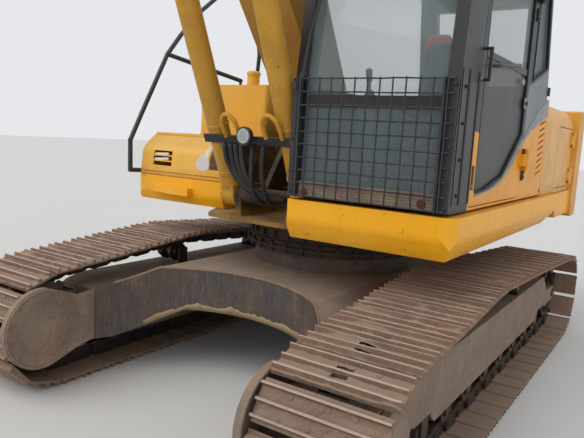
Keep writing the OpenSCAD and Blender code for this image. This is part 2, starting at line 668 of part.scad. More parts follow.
// Wire guard in front of the lower window, on two drilled side strips
mesh_top = 1990;
mesh_x = cab_front + 24;
mesh_p = 72;
module mesh_guard() {
    color(dark) {
        for (y = [cab_in + 34, cab_out - 34]) difference() {
            block([cab_front + 0.3, y - 34, cab_bottom + 4], [cab_front + 34, y + 34, mesh_top + 3]);
            for (i = [0:7]) translate([cab_front, y, cab_bottom + 60 + 80 * i]) rotate([0, 90, 0])
                cylinder(r = 8, h = 100, center = true, $fn = 16);
        }
        for (i = [0:9]) translate([mesh_x, seat_y, mesh_top - mesh_p * i])
            rotate([90, 0, 0]) cylinder(r = 4, h = cab_out - cab_in - 20, center = true, $fn = 8);
        for (i = [-6:6]) translate([mesh_x + 6, seat_y + mesh_p * i, cab_bottom + 6])
            cylinder(r = 4, h = mesh_top - cab_bottom, $fn = 8);
    }
}
// Operator's seat on its base, with both consoles and the control levers
seat_x = 160;
seat_y = (cab_in + cab_out) / 2;
module operator_seat() {
    color(dark) {
        block([cab_rear + cab_t + 5, cab_in + cab_t + 0.3, cab_bottom + cab_t + 0.3],
            [1040, cab_out - cab_t - 10, cab_bottom + cab_t + 26]);
        block([seat_x - 260, seat_y - 200, cab_bottom + cab_t + 26], [seat_x + 220, seat_y + 200, 1700]);
        slab(480, seat_y) polygon(rounded([[seat_x - 300, 1700, 30], [seat_x + 260, 1700, 50],
            [seat_x + 260, 1830, 50], [seat_x - 160, 1800, 40],
            [seat_x - 300, 2440, 60], [seat_x - 420, 2420, 60]]));
        for (side = [-1, 1]) {
            slab(130, seat_y + side * 330) polygon(rounded([[seat_x - 200, 1500, 30], [seat_x + 300, 1500, 30],
                [seat_x + 460, 1900, 50], [seat_x + 360, 1960, 50], [seat_x - 200, 1860, 30]]));
            translate([seat_x + 380, seat_y + side * 330, 1930]) rotate([0, 12, 0]) cylinder(r = 22, h = 200);
            block([seat_x - 260, seat_y + side * 265 - 66, 1500], [seat_x - 200, seat_y + side * 265 + 66, 1700]);
        }
        for (side = [-1, 1]) translate([840, seat_y + side * 90, cab_bottom + cab_t + 20]) rotate([0, -16, 0])
            cylinder(r = 14, h = 560);
    }
}
module wiper() {
    color(dark) {
        tube([[cab_front + 6, cab_in + 60, 2010], [cab_front - 16, cab_in + 80, 2240],
            [cab_front - 50, cab_in + 150, 2560]], 9);
        translate([cab_front - 18 + seat, cab_in + 60, 2010]) rotate([0, 90, 0]) cylinder(r = 16, h = 34);
    }
}
hinge_y = cab_out + 34;
module cab_door() {
    color(dark) {
        difference() {
            slab(cab_t - 8, cab_out - cab_t / 2 + 4) door_profile(0);
            slab(cab_t + 10, cab_out - cab_t / 2 + 4) polygon(rounded(door_window(0)));
        }
        slab(glass_t, cab_out - 20) polygon(rounded(door_window(10)));
        for (z = door_hinge_z) {
            block([door_rear - 12, cab_out + seat, z - 40], [door_rear + 60, hinge_y, z + 40]);
            block([door_rear + 4, cab_out - 1, z - 40], [door_rear + 60, cab_out + 1, z + 40]);
            moving_knuckle(door_rear - 12, hinge_y, z);
        }
        tube([[door_front - 40, cab_out - 6, 2020], [door_front - 40, cab_out + 34, 2020],
            [door_front - 46, cab_out + 34, 2180], [door_front - 46, cab_out - 6, 2180]], 9);
    }
}

// Toolbox on the right deck, with its lid
tool_y0 = -deck_y + 40;
tool_back = 160;
tool_y1 = -480;
tool_top = 1626;
// Foot of the lowest slot and the pitch of the slots
slot_z = 1392;
slot_p = 41;
module tool_profile(t) {
    polygon(rounded([[tool_back + t, deck_top + seat + t, 8], [right_deck_front - 8 - t, deck_top + seat + t, 12],
        [right_deck_front - 26 - t, 1520, 120], [right_deck_front - 150 - t, tool_top - t, 60],
        [tool_back + t, tool_top - t, 8]]));
}
module toolbox() {
    color(paint) for (y = lid_hinge_y) for (side = [-1, 1]) {
        bar(12, 30, lid_hinge, y + side * (60 + seat + 15));
        block([lid_hinge[0] - 10, y + side * (60 + seat + 15) - 15, tool_top - 2],
            [lid_hinge[0] + 10, y + side * (60 + seat + 15) + 15, lid_hinge[1]]);
    }
    color(paint) difference() {
        slab(tool_y1 - tool_y0, (tool_y0 + tool_y1) / 2) tool_profile(0);
        slab(tool_y1 - tool_y0 - 2 * panel_t, (tool_y0 + tool_y1) / 2) tool_profile(panel_t);
        block([tool_back + 40, tool_y0 + panel_t, tool_top - 60], [right_deck_front - 190, tool_y1 - panel_t, tool_top + 10]);
        for (i = [0:2]) {
            z = slot_z + slot_p * i;
            block([right_deck_front - 200, tool_y0 + 128, z], [right_deck_front + 20, tool_y0 + 325, z + 31]);
            block([500, tool_y0 - 10, z + 28], [700, tool_y0 + 60, z + 46]);
        }
    }
}
lid_hinge = [tool_back + 12, tool_top + 16];
lid_hinge_y = [tool_y0 + 140, tool_y1 - 140];
module toolbox_lid() {
    color(paint) {
        block([lid_hinge[0] + 20, tool_y0 + 6, tool_top + seat], [right_deck_front - 160, tool_y1 - 6, tool_top + 18]);
        for (y = lid_hinge_y) {
            bar(12, 120, lid_hinge, y);
            block([lid_hinge[0], y - 60, tool_top + 8], [lid_hinge[0] + 30, y + 60, tool_top + 18]);
        }
    }
}

// Tanks behind the toolbox
tank_top = 2066;
tank_in = -600;
tank_out = -1340;
tank_skin = 8;
filler = [24, -840];
module tank_plan(x0, x1, t) {
    polygon(rounded([[x0 + t, tank_out + t, 60 - t], [x1 - t, tank_out + t, 60 - t],
        [x1 - t, tank_in - t, 40 - t], [x0 + t, tank_in - t, 40 - t]]));
}
module tank(x0, x1) {
    difference() {
        translate([0, 0, deck_top + seat]) linear_extrude(height = tank_top - deck_top - seat) tank_plan(x0, x1, 0);
        translate([0, 0, deck_top + tank_skin + seat])
            linear_extrude(height = tank_top - deck_top - 2 * tank_skin - seat) tank_plan(x0, x1, tank_skin);
    }
}
module fuel_tank() {
    color(paint) {
        tank(-560, 138);
        // Filler neck with its cap
        translate([filler[0], filler[1], tank_top - 6]) cylinder(r = 52, h = 100);
        translate([filler[0], filler[1], tank_top + 88]) rotate_extrude()
            polygon([[0, 0], [58, 0], [58, 22], [42, 34], [0, 36]]);
    }
}
module hydraulic_tank() {
    color(paint) {
        tank(body_mid + 6, -566);
        translate([-840, -900, tank_top - 6]) cylinder(r = 120, h = 30);
    }
}

// Engine, body panels, hood and doors behind
left_front = cab_rear - 12;
tail_x = -2130;
door_split = -1400;
engine_y = [-560, 600];
engine_top = 1900;
body_mid = -1192;
body_y = cab_out;
module engine_block() {
    color(dark) block([tail_x + 90, engine_y[0], base_z + base_t + seat], [body_mid - 50, engine_y[1], engine_top]);
}
shoulder = 150;
module body_section(y0, y1, t) {
    polygon(rounded([[y0 + t, deck_top + seat + t, 8], [y1 - t, deck_top + seat + t, 8],
        [y1 - t, hood_top - t, y1 > 1000 ? shoulder : 8], [y0 + t, hood_top - t, y0 < -1000 ? shoulder : 8]], 6));
}
module across(x0, x1) {
    translate([x0, 0, 0]) rotate([90, 0, 90]) linear_extrude(height = x1 - x0) children();
}
hood_y = 900;
door_z = [1450, 1780];
module body_panels() {
    color(paint) {
        for (z = door_z) {
            fixed_knuckles(tail_x + 84, body_y + 18, z, body_y - 4, -30);
            other_side() fixed_knuckles(right_door_front + 12, body_y + 18, z, body_y - 4, 30);
        }
        for (y = hood_hinge_y) for (side = [-1, 1]) {
            bar(12, 30, hood_hinge, y + side * (60 + seat + 15));
            block([hood_hinge[0] - 10, y + side * (60 + seat + 15) - 15, hood_top - 2],
                [hood_hinge[0] + 10, y + side * (60 + seat + 15) + 15, hood_hinge[1]]);
        }
    }
    color(paint) difference() {
        union() {
            across(body_mid, left_front) body_section(slot_y + 60, body_y, 0);
            across(tail_x + seat, body_mid) body_section(-body_y, body_y, 0);
        }
        across(body_mid - 30, left_front - panel_t) body_section(slot_y + 60, body_y, panel_t);
        across(tail_x + 30, body_mid - panel_t) body_section(-body_y, body_y, panel_t);
        // Openings of the side doors and of the hood
        block([tail_x + 90, body_y - 200, deck_top + 40], [door_split, body_y + 10, hood_top - shoulder - 20]);
        block([tail_x + 90, -body_y - 10, deck_top + 40], [right_door_front + 6, -body_y + 200, hood_top - shoulder - 20]);
        block([tail_x + 60, -hood_y, hood_top - 100], [body_mid - 28, hood_y, hood_top + 10]);
        // Open floor over the engine
        block([tail_x + 60, -hood_y, deck_top - 20], [body_mid - 28, hood_y, deck_top + 60]);
    }
}
right_door_front = body_mid - 40;
module door_panel(x0, x1) {
    block([x0, body_y - panel_t, deck_top + 46], [x1, body_y, hood_top - shoulder - 26]);
}
module side_door_left() {
    color(paint) {
        door_panel(tail_x + 96, door_split - door_gap);
        for (z = door_z) {
            moving_knuckle(tail_x + 84, body_y + 18, z);
            block([tail_x + 98, body_y - 1, z - 40], [tail_x + 150, body_y + 10, z + 40]);
            block([tail_x + 84, body_y + 8, z - 40], [tail_x + 150, body_y + 20, z + 40]);
        }
    }
}
module side_door_right() {
    color(paint) other_side() {
        difference() {
            door_panel(tail_x + 96, right_door_front);
            for (i = [0:8]) block([-1900, body_y - 60, 1480 + 40 * i], [-1500, body_y + 10, 1494 + 40 * i]);
        }
        for (z = door_z) {
            moving_knuckle(right_door_front + 12, body_y + 18, z);
            block([right_door_front - 54, body_y - 1, z - 40], [right_door_front - 2, body_y + 10, z + 40]);
            block([right_door_front - 54, body_y + 8, z - 40], [right_door_front + 12, body_y + 20, z + 40]);
        }
    }
}
hood_hinge = [body_mid - 14, hood_top + 18];
hood_hinge_y = [-500, 500];
hood_front = body_mid - 34;
module engine_hood() {
    color(paint) {
        difference() {
            block([tail_x + 66, -hood_y + 6, hood_top - 80], [hood_front, hood_y - 6, hood_top]);
            block([tail_x + 66 + panel_t, -hood_y + 6 + panel_t, hood_top - 90],
                [hood_front - panel_t, hood_y - 6 - panel_t, hood_top - panel_t]);
            for (i = [0:7]) block([-1900, -300 + 60 * i, hood_top - 50], [-1600, -270 + 60 * i, hood_top + 10]);
        }
        for (y = hood_hinge_y) {
            bar(12, 120, hood_hinge, y);
            block([hood_front - 60, y - 60, hood_top - 1], [hood_front - 4, y + 60, hood_top + 14]);
            block([hood_front - 60, y - 60, hood_top + 8], [hood_hinge[0], y + 60, hood_top + 18]);
        }
    }
}
lift_x = -2420;
module counterweight() {
    color(paint) difference() {
        intersection() {
            translate([0, 0, deck_bottom - 20]) cylinder(r = tail_r, h = hood_top - deck_bottom + 20, $fn = 128);
            block([-3000, -deck_y, 0], [tail_x, deck_y, 3000]);
            rotate([90, 0, 0]) linear_extrude(height = 4000, center = true) polygon(rounded(
                [[tail_x, deck_bottom - 20, 20], [-tail_r + 40, deck_bottom - 20, 120],
                [-tail_r - 400, 1500, 60], [-tail_r + 30, hood_top, 160], [tail_x, hood_top, 20]]));
        }
        // Hollow towards the engine
        intersection() {
            translate([0, 0, deck_bottom + 90])
                cylinder(r = tail_r - 110, h = hood_top - 260 - deck_bottom, $fn = 96);
            block([-3000, -1250, 0], [tail_x + 10, 1250, 3000]);
        }
        // Pockets with a lifting bar
        for (y = [-620, 620]) difference() {
            block([lift_x - 90, y - 60, hood_top - 150], [lift_x + 90, y + 60, hood_top + 10]);
            bar(24, 130, [lift_x, hood_top - 60], y);
        }
    }
}
exhaust_at = [-1500, -1040];
module exhaust_pipe() {
    color(dark) difference() {
        union() {
            translate([exhaust_at[0], exhaust_at[1], hood_top + 0.3]) cylinder(r = 62, h = 300);
            translate([exhaust_at[0], exhaust_at[1], hood_top + 0.3]) cylinder(r = 90, h = 12);
        }
        translate([exhaust_at[0], exhaust_at[1], hood_top + 60]) cylinder(r = 56, h = 300);
    }
}
rail_r = 18;
module handrail() {
    color(dark) {
        tube([[706, -1350, deck_top + rail_r + 0.5], [878, -1350, 1341], [883, -1350, 1572], [777, -1350, 1779],
            [516, -1350, 2272], [375, -1350, 2442], [142, -1350, 2681], [-130, -1350, 2895],
            [-330, -1300, 2905], [-424, -1200, 2780], [-424, -1136, 2394],
            [-424, -1160, tank_top + rail_r * 1.06 + seat]], rail_r);
        // Lower rail across to a post on the tank
        tube([[516, -1350, 2272], [-58, -1045, 2120]], rail_r);
        translate([-58, -1045, tank_top + seat]) cylinder(r = 12, h = 2120 - tank_top - seat);
    }
}

// Boom: box section through stations of [along, up, depth, lean of the section]
boom_rows = [[90, 62, 300, 29], [999, 564, 430, 28], [1900, 989, 560, 26], [2350, 1120, 600, 8],
    [2850, 1095, 580, -12], [3400, 930, 520, -19], [5230, 196, 320, -21]];
function side_of(rows, t, s) = [for (row = rows) [row[0], row[1]] + turn([0, s * (row[2] / 2 - t)], row[3])];
function section_outline(rows, t) = concat(side_of(rows, t, -1),
    [for (i = [len(rows) - 1:-1:0]) side_of(rows, t, 1)[i]]);
module boom_outline(t) {
    polygon(section_outline(boom_rows, t));
}
module boom() {
    color(paint) boom_frame() difference() {
        union() {
            difference() {
                slab(boom_w) boom_outline(0);
                slab(boom_w - 2 * boom_t) intersection() {
                    boom_outline(boom_t);
                    translate([260, -100]) square([4930, 2000]);
                }
            }
            bar(118, boom_w, [0, 0]);
            bar(140, boom_w + 2 * lug_gap + 4, ram_pin);
            // Tip fork
            for (side = [-1, 1])
                slab(boom_w / 2 - arm_w / 2 - lug_gap, side * (boom_w / 4 + arm_w / 4 + lug_gap / 2))
                    polygon(concat([[5150, 60]], arc([boom_l, 0], 130, -100, 70, 10), [[5150, 380]]));
            bar(48, boom_w + 60, [boom_l, 0]);
            // Arm cylinder lugs
            for (side = [-1, 1]) slab(34, side * (arm_ram_w / 2 + lug_gap + 17)) polygon(concat([[3256, 1230]],
                arc(arm_ram_foot, 90, 0, 150, 8), [[2880, 1340]]));
            bar(40, arm_ram_w + 2 * lug_gap + 100, arm_ram_foot);
        }
        bar(foot_pin_r + pin_gap, boom_w + 10, [0, 0]);
    }
}
arm_ram_w = 110;

// Cylinders: drawn along x from the foot pin, and turned to their place
module barrel(r, eye_r, pin_r, w, neck, l) {
    difference() {
        union() {
            bar(eye_r, w, [0, 0]);
            slab(w) polygon([[0, -eye_r * 0.9], [neck + 4, -r * 0.8], [neck + 4, r * 0.8], [0, eye_r * 0.9]]);
            translate([neck, 0, 0]) rotate([0, 90, 0]) cylinder(r = r, h = l - neck);
            translate([l - 110, 0, 0]) rotate([0, 90, 0]) cylinder(r = r + 12, h = 110);
        }
        bar(pin_r + pin_gap, w + 2, [0, 0]);
        translate([neck + 16, 0, 0]) rotate([0, 90, 0]) cylinder(r = r * rod_share + 1, h = l);
    }
}
// Rod radius as a share of the barrel's
rod_share = 0.62;
module rod(r, eye_r, w, from, l) {
    translate([from, 0, 0]) rotate([0, 90, 0]) cylinder(r = r * rod_share, h = l - from - eye_r * 0.6);
    bar(eye_r, w, [l, 0]);
}
module ram_frame() {
    translate([ram_x, 0, ram_z]) rotate([0, -ram_turn, 0]) children();
}
ram_barrel_l = 1560;
module boom_cylinder_barrels() {
    color(paint) ram_frame() for (side = [-1, 1]) translate([0, side * ram_y, 0])
        barrel(ram_r, 78, 42, ram_w, 84, ram_barrel_l);
}
lamp_at = 408;
lamp_bar_h = 56;
module lamp_bar() {
    color(dark) ram_frame() {
        // Flat bar across both barrels, with the round lamp on its bracket
        block([lamp_at, -350, -ram_r - 8.3], [lamp_at + lamp_bar_h, ram_y + ram_r - 4, -ram_r - 0.3]);
        block([lamp_at + 30, 12, -ram_r - 40], [lamp_at + 70, 42, -ram_r - 6]);
        translate([lamp_at + lamp_bar_h, 27, -ram_r - 10]) rotate([0, ram_turn, 0]) rotate([0, 90, 0])
            rotate_extrude() polygon([[0, 0], [26, 0], [50, 26], [58, 32], [58, 56], [0, 56]]);
    }
}
module boom_cylinder_rods() {
    color(steel) ram_frame() for (side = [-1, 1]) translate([0, side * ram_y, 0])
        rod(ram_r, 84, ram_w, ram_barrel_l - 545, ram_len);
}
module arm_ram_frame() {
    boom_frame() translate([arm_ram_foot[0], 0, arm_ram_foot[1]]) rotate([0, -arm_ram_turn, 0]) children();
}
arm_barrel_l = 1960;
module arm_cylinder_barrel() {
    color(paint) arm_ram_frame() barrel(arm_ram_r, 86, 40, arm_ram_w, 150, arm_barrel_l);
}
module arm_cylinder_rod() {
    color(steel) arm_ram_frame() rod(arm_ram_r, 88, arm_ram_w, arm_barrel_l - 560, arm_ram_len);
}

// Arm: plate box with a forked tail for the arm cylinder and lugs for the bucket cylinder
module arm_outline(t) {
    polygon(rounded([[-330 + t, 330 - t, 30], [-190 + t, -150 + t, 100], [320, -200 + t, 60],
        [arm_l - 60 - t, -84 + t, 60], [arm_l - 60 - t, 84 - t, 60], [700, 320 - t, 200], [60, 372 - t, 100]]));
}
fork_w = arm_ram_w + 2 * lug_gap;
bucket_ram_w = 96;
module arm() {
    color(paint) arm_frame() difference() {
        union() {
            difference() {
                slab(arm_w) arm_outline(0);
                slab(arm_w - 2 * boom_t) intersection() {
                    arm_outline(boom_t);
                    translate([170, -300]) square([arm_l - 340, 800]);
                }
            }
            for (side = [-1, 1]) slab(arm_w / 2 - fork_w / 2 - 20, side * (arm_w / 4 + fork_w / 4))
                polygon(concat([[-140, -140]], [[-140, 372]], arc(arm_tail, 100, 70, 260, 10), [[-480, 150]]));
            bar(150, arm_w, [0, 0]);
            bar(98, arm_w, bucket_c);
            // Pin ends of the arm cylinder's joint
            for (side = [-1, 1]) bar(56, 16, arm_tail, side * (arm_w / 2 - 4));
            bar(84, arm_w, rocker_pin);
            for (side = [-1, 1]) slab(32, side * (bucket_ram_w / 2 + lug_gap + 16)) polygon(concat([[640, 300]],
                arc(bucket_ram_foot, 84, 0, 150, 8), [[160, 340]]));
            bar(36, bucket_ram_w + 2 * lug_gap + 100, bucket_ram_foot);
            bar(38, arm_w + 2 * lug_gap + 110, rocker_pin);
        }
        bar(48 + pin_gap, arm_w + 10, [0, 0]);
        bar(44 + pin_gap, arm_w + 10, bucket_c);
    }
}
module bucket_ram_frame() {
    arm_frame() translate([bucket_ram_foot[0], 0, bucket_ram_foot[1]]) rotate([0, -bucket_ram_turn, 0]) children();
}
bucket_barrel_l = 1440;
module bucket_cylinder_barrel() {
    color(paint) bucket_ram_frame() barrel(bucket_ram_r, 78, 36, bucket_ram_w, 150, bucket_barrel_l);
}
module bucket_cylinder_rod() {
    color(steel) bucket_ram_frame() rod(bucket_ram_r, 80, bucket_ram_w, bucket_barrel_l - 870, bucket_ram_len);
}
// Rocker links outside the arm, and the forked push link between them
rocker_t = 40;
rocker_y = arm_w / 2 + lug_gap + rocker_t / 2;
module strap(p, q, r, w, y) {
    slab(w, y) {
        translate(p) circle(r = r);
        translate(q) circle(r = r);
        e = turn(unit(q - p), 90) * r * 0.86;
        polygon([p + e, q + e, q - e, p - e]);
    }
}
module rocker_links() {
    color(paint) arm_frame() for (side = [-1, 1]) difference() {
        union() {
            strap(rocker_pin, link_joint, link_end_r - 14, rocker_t, side * rocker_y);
            bar(link_end_r, rocker_t + 8, link_joint, side * (rocker_y + 2));
        }
        bar(38 + pin_gap, 80, rocker_pin, side * rocker_y);
    }
}
push_w = arm_w - 4;
module push_link() {
    color(paint) arm_frame() difference() {
        union() {
            for (side = [-1, 1]) strap(bucket_c + push_pin, link_joint, 64, 56, side * (push_w / 2 - 28));
            bar(72, push_w, bucket_c + push_pin);
        }
        bar(40 + pin_gap, push_w + 10, bucket_c + push_pin);
    }
}
// Bucket in its own frame: x to the tooth tips, z to its back
module bucket_frame() {
    arm_frame() translate([arm_l, 0, 0]) rotate([0, -bucket_turn, 0]) children();
}
edge_x = bucket_r - 190;
bucket_rows = [[edge_x, -6, 0], [bucket_r - 340, 560, 170], [760, 960, 330], [250, 830, 180],
    [110, 470, 200], [150, 20, 0], [430, 110, 200], [980, 90, 200]];
ear_y = arm_w / 2 + lug_gap + 20;
module bucket() {
    color(paint) bucket_frame() difference() {
        union() {
            // Bowl: floor and back as one curved sheet with two side plates
            difference() {
                slab(bucket_w) polygon(rounded(bucket_rows, 8));
                slab(bucket_w - 2 * bucket_t) polygon(rounded([[edge_x + 30, -60, 0], [edge_x - 18, 14, 0],
                    [bucket_r - 340 - bucket_t, 552, 150], [752, 960 - bucket_t, 310], [264, 812, 160],
                    [110 + bucket_t, 466, 180], [152 + bucket_t, 14, 0], [172, -60, 0]], 8));
            }
            // Ears that carry both pins
            for (side = [-1, 1]) slab(40, side * ear_y) polygon(rounded([[-136, 500, 70], [-118, 340, 60],
                [-98, -98, 97], [98, -98, 97], [166, 60, 30], [128, 470, 60], [264, 816, 30], [120, 720, 60]]));
            bar(40, arm_w + 2 * lug_gap + 110, polar(440, 98));
            bar(44, arm_w + 2 * lug_gap + 110, [0, 0]);
            // Lip and teeth
            slab(bucket_w) polygon([[edge_x - 70, 236], [edge_x - 24, -10], [edge_x + 26, -20], [edge_x + 30, 6],
                [edge_x - 38, 250]]);
            for (i = [0:tooth_count - 1]) slab(76, -bucket_w / 2 + 70 + (bucket_w - 140) * i / (tooth_count - 1))
                polygon([[edge_x - 40, 90], [edge_x - 40, 10], [edge_x + 60, -34], [bucket_r, -6],
                    [bucket_r, 6], [edge_x + 50, 60]]);
        }
    }
}

placed() center_frame();
placed() track_frame_left();
placed() track_frame_right();
placed() track_left();
placed() track_right();
placed() sprocket_left();
placed() sprocket_right();
placed() rollers_left();
placed() rollers_right();
placed() swing_ring_lower();
placed() swing_ring_upper();
placed() revolving_frame();
placed() deck_skirts();
placed() cab_shell();
placed() cab_glass();
placed() mesh_guard();
placed() operator_seat();
placed() wiper();
placed() toolbox();
placed() fuel_tank();
placed() hydraulic_tank();
placed() engine_block();
placed() body_panels();
placed() counterweight();
placed() exhaust_pipe();
placed() handrail();
placed() cab_door();
placed() side_door_left();
placed() side_door_right();
placed() engine_hood();
placed() toolbox_lid();
placed() boom();
placed() boom_cylinder_barrels();
placed() lamp_bar();
placed() boom_cylinder_rods();
placed() arm_cylinder_barrel();
placed() arm_cylinder_rod();
placed() arm();
placed() bucket_cylinder_barrel();
placed() bucket_cylinder_rod();
placed() rocker_links();
placed() push_link();
placed() bucket();
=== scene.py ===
"""Looks of a crawler excavator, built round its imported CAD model."""

import json
import math
import random

import bpy
import bmesh
from mathutils import Matrix, Vector, noise


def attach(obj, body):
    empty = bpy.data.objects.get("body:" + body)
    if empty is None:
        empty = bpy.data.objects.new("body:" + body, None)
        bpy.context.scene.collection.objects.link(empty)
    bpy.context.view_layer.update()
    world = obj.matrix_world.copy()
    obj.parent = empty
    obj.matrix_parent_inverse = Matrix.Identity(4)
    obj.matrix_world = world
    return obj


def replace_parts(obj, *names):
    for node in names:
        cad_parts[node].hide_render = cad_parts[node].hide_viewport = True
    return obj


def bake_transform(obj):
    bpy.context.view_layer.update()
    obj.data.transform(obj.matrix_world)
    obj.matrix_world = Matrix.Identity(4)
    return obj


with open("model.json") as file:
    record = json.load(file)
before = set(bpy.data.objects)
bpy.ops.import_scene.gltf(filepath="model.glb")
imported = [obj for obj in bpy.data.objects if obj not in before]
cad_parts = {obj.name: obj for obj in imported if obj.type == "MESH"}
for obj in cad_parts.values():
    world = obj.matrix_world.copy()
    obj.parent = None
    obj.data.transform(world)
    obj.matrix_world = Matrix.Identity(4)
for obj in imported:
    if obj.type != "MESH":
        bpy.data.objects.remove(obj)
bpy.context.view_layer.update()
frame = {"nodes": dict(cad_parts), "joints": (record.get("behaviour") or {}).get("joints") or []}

# The slew axis stands at x = OX in the frame; places below are given from that axis, in metres
OX = next(j for j in frame["joints"] if j["name"] == "slew")["pos_m"][0]
PI = math.pi


def at(x, y, z):
    return Vector((x + OX, y, z))


# Forward along the machine, and outward from the cab's left side
FORWARD, OUTWARD = (1, 0, 0), (0, 1, 0)


# Camera at the photograph's place: yaw, pitch and roll in degrees, place from the slew axis, lens in pixels
CAMERA_TURN = (-146.34, -7.939, 3.273)
CAMERA_PLACE = (4.027, 2.291, 1.671)
LENS_PX, PHOTO_W, SENSOR_MM = 593.048, 584, 36


def add_camera():
    yaw, pitch, roll = (math.radians(a) for a in CAMERA_TURN)
    ahead = Vector((math.cos(yaw) * math.cos(pitch), math.sin(yaw) * math.cos(pitch), math.sin(pitch)))
    right = Vector((math.sin(yaw), -math.cos(yaw), 0))
    up = right.cross(ahead)
    right_2 = math.cos(roll) * right + math.sin(roll) * up
    up_2 = math.cos(roll) * up - math.sin(roll) * right
    data = bpy.data.cameras.new("camera")
    data.sensor_width = SENSOR_MM
    data.lens = LENS_PX / PHOTO_W * SENSOR_MM
    data.clip_end = 200
    cam = bpy.data.objects.new("camera", data)
    m = Matrix((right_2, up_2, -ahead)).transposed().to_4x4()
    m.translation = at(*CAMERA_PLACE)
    cam.matrix_world = m
    bpy.context.scene.collection.objects.link(cam)
    bpy.context.scene.camera = cam


add_camera()


# Colours and node materials
def rgb(code):
    """A linear colour from its usual six-digit code."""
    out = []
    for i in (0, 2, 4):
        c = int(code[i:i + 2], 16) / 255
        out.append(c / 12.92 if c <= 0.04045 else ((c + 0.055) / 1.055) ** 2.4)
    return (*out, 1.0)


class Mat:
    """A principled material with short calls for its nodes."""

    def __init__(self, name, color="808080", rough=0.5, metal=0.0, spec=0.5):
        self.material = bpy.data.materials.new(name)
        self.material.use_nodes = True
        self.tree = self.material.node_tree
        self.tree.nodes.clear()
        out = self.tree.nodes.new("ShaderNodeOutputMaterial")
        self.shader = self.tree.nodes.new("ShaderNodeBsdfPrincipled")
        self.tree.links.new(self.shader.outputs[0], out.inputs[0])
        self.shader.inputs["Base Color"].default_value = rgb(color)
        self.shader.inputs["Roughness"].default_value = rough
        self.shader.inputs["Metallic"].default_value = metal
        self.shader.inputs["Specular IOR Level"].default_value = spec
        self.coord = self.tree.nodes.new("ShaderNodeTexCoord").outputs["Object"]

    def put(self, socket, value):
        if isinstance(value, bpy.types.NodeSocket):
            self.tree.links.new(value, socket)
        elif isinstance(value, str):
            socket.default_value = rgb(value)
        else:
            socket.default_value = value

    def set(self, name, value):
        self.put(self.shader.inputs[name], value)

    def scaled(self, x, y, z):
        node = self.tree.nodes.new("ShaderNodeMapping")
        node.inputs["Scale"].default_value = (x, y, z)
        self.tree.links.new(self.coord, node.inputs["Vector"])
        return node.outputs[0]

    def noise(self, scale, detail=4.0, rough=0.55, vector=None, twist=0.0):
        node = self.tree.nodes.new("ShaderNodeTexNoise")
        node.inputs["Scale"].default_value = scale
        node.inputs["Detail"].default_value = detail
        node.inputs["Roughness"].default_value = rough
        node.inputs["Distortion"].default_value = twist
        self.tree.links.new(vector or self.coord, node.inputs["Vector"])
        return node.outputs["Fac"]

    def span(self, value, low, high, to_low=0.0, to_high=1.0):
        node = self.tree.nodes.new("ShaderNodeMapRange")
        node.inputs["From Min"].default_value = low
        node.inputs["From Max"].default_value = high
        node.inputs["To Min"].default_value = to_low
        node.inputs["To Max"].default_value = to_high
        self.tree.links.new(value, node.inputs["Value"])
        return node.outputs[0]

    def calc(self, operation, a, b=0.0, clamp=False):
        node = self.tree.nodes.new("ShaderNodeMath")
        node.operation = operation
        node.use_clamp = clamp
        self.put(node.inputs[0], a)
        self.put(node.inputs[1], b)
        return node.outputs[0]

    def mix(self, share, a, b):
        node = self.tree.nodes.new("ShaderNodeMix")
        node.data_type = "RGBA"
        self.put(node.inputs[0], share)
        self.put(node.inputs[6], a)
        self.put(node.inputs[7], b)
        return node.outputs[2]

    def axis(self, letter):
        """A coordinate of the point in the frame."""
        node = self.tree.nodes.new("ShaderNodeSeparateXYZ")
        self.tree.links.new(self.coord, node.inputs[0])
        return node.outputs[letter]

    def facing(self, letter):
        """A coordinate of the surface's normal."""
        geometry = self.tree.nodes.new("ShaderNodeNewGeometry")
        node = self.tree.nodes.new("ShaderNodeSeparateXYZ")
        self.tree.links.new(geometry.outputs["Normal"], node.inputs[0])
        return node.outputs[letter]

    def line(self, value, points):
        """Height over the ground along the machine: straight pieces through points of x and z."""
        low, high = points[0][0], points[-1][0]
        node = self.tree.nodes.new("ShaderNodeValToRGB")
        marks = node.color_ramp.elements
        while len(marks) < len(points):
            marks.new(0.5)
        for mark, (x, z) in zip(marks, points):
            mark.position = (x - low) / (high - low)
            mark.color = ((z - 1) / 2, (z - 1) / 2, (z - 1) / 2, 1)
        self.tree.links.new(self.span(value, low, high), node.inputs[0])
        return self.calc("ADD", self.calc("MULTIPLY", node.outputs[0], 2.0), 1.0)

    def along(self):
        """The place along the machine, from the slew axis."""
        return self.calc("SUBTRACT", self.axis("X"), OX)

    def both(self, *masks):
        """Where all masks hold."""
        total = masks[0]
        for mask in masks[1:]:
            total = self.calc("MULTIPLY", total, mask)
        return total

    def bump(self, height, strength=0.3, depth=0.01):
        node = self.tree.nodes.new("ShaderNodeBump")
        node.inputs["Strength"].default_value = strength
        node.inputs["Distance"].default_value = depth
        self.tree.links.new(height, node.inputs["Height"])
        self.tree.links.new(node.outputs[0], self.shader.inputs["Normal"])


CHIP_RUST, DUST, SCRATCHES, SOOT = "4a2a17", "a08a6a", "9c9080", "2a211c"


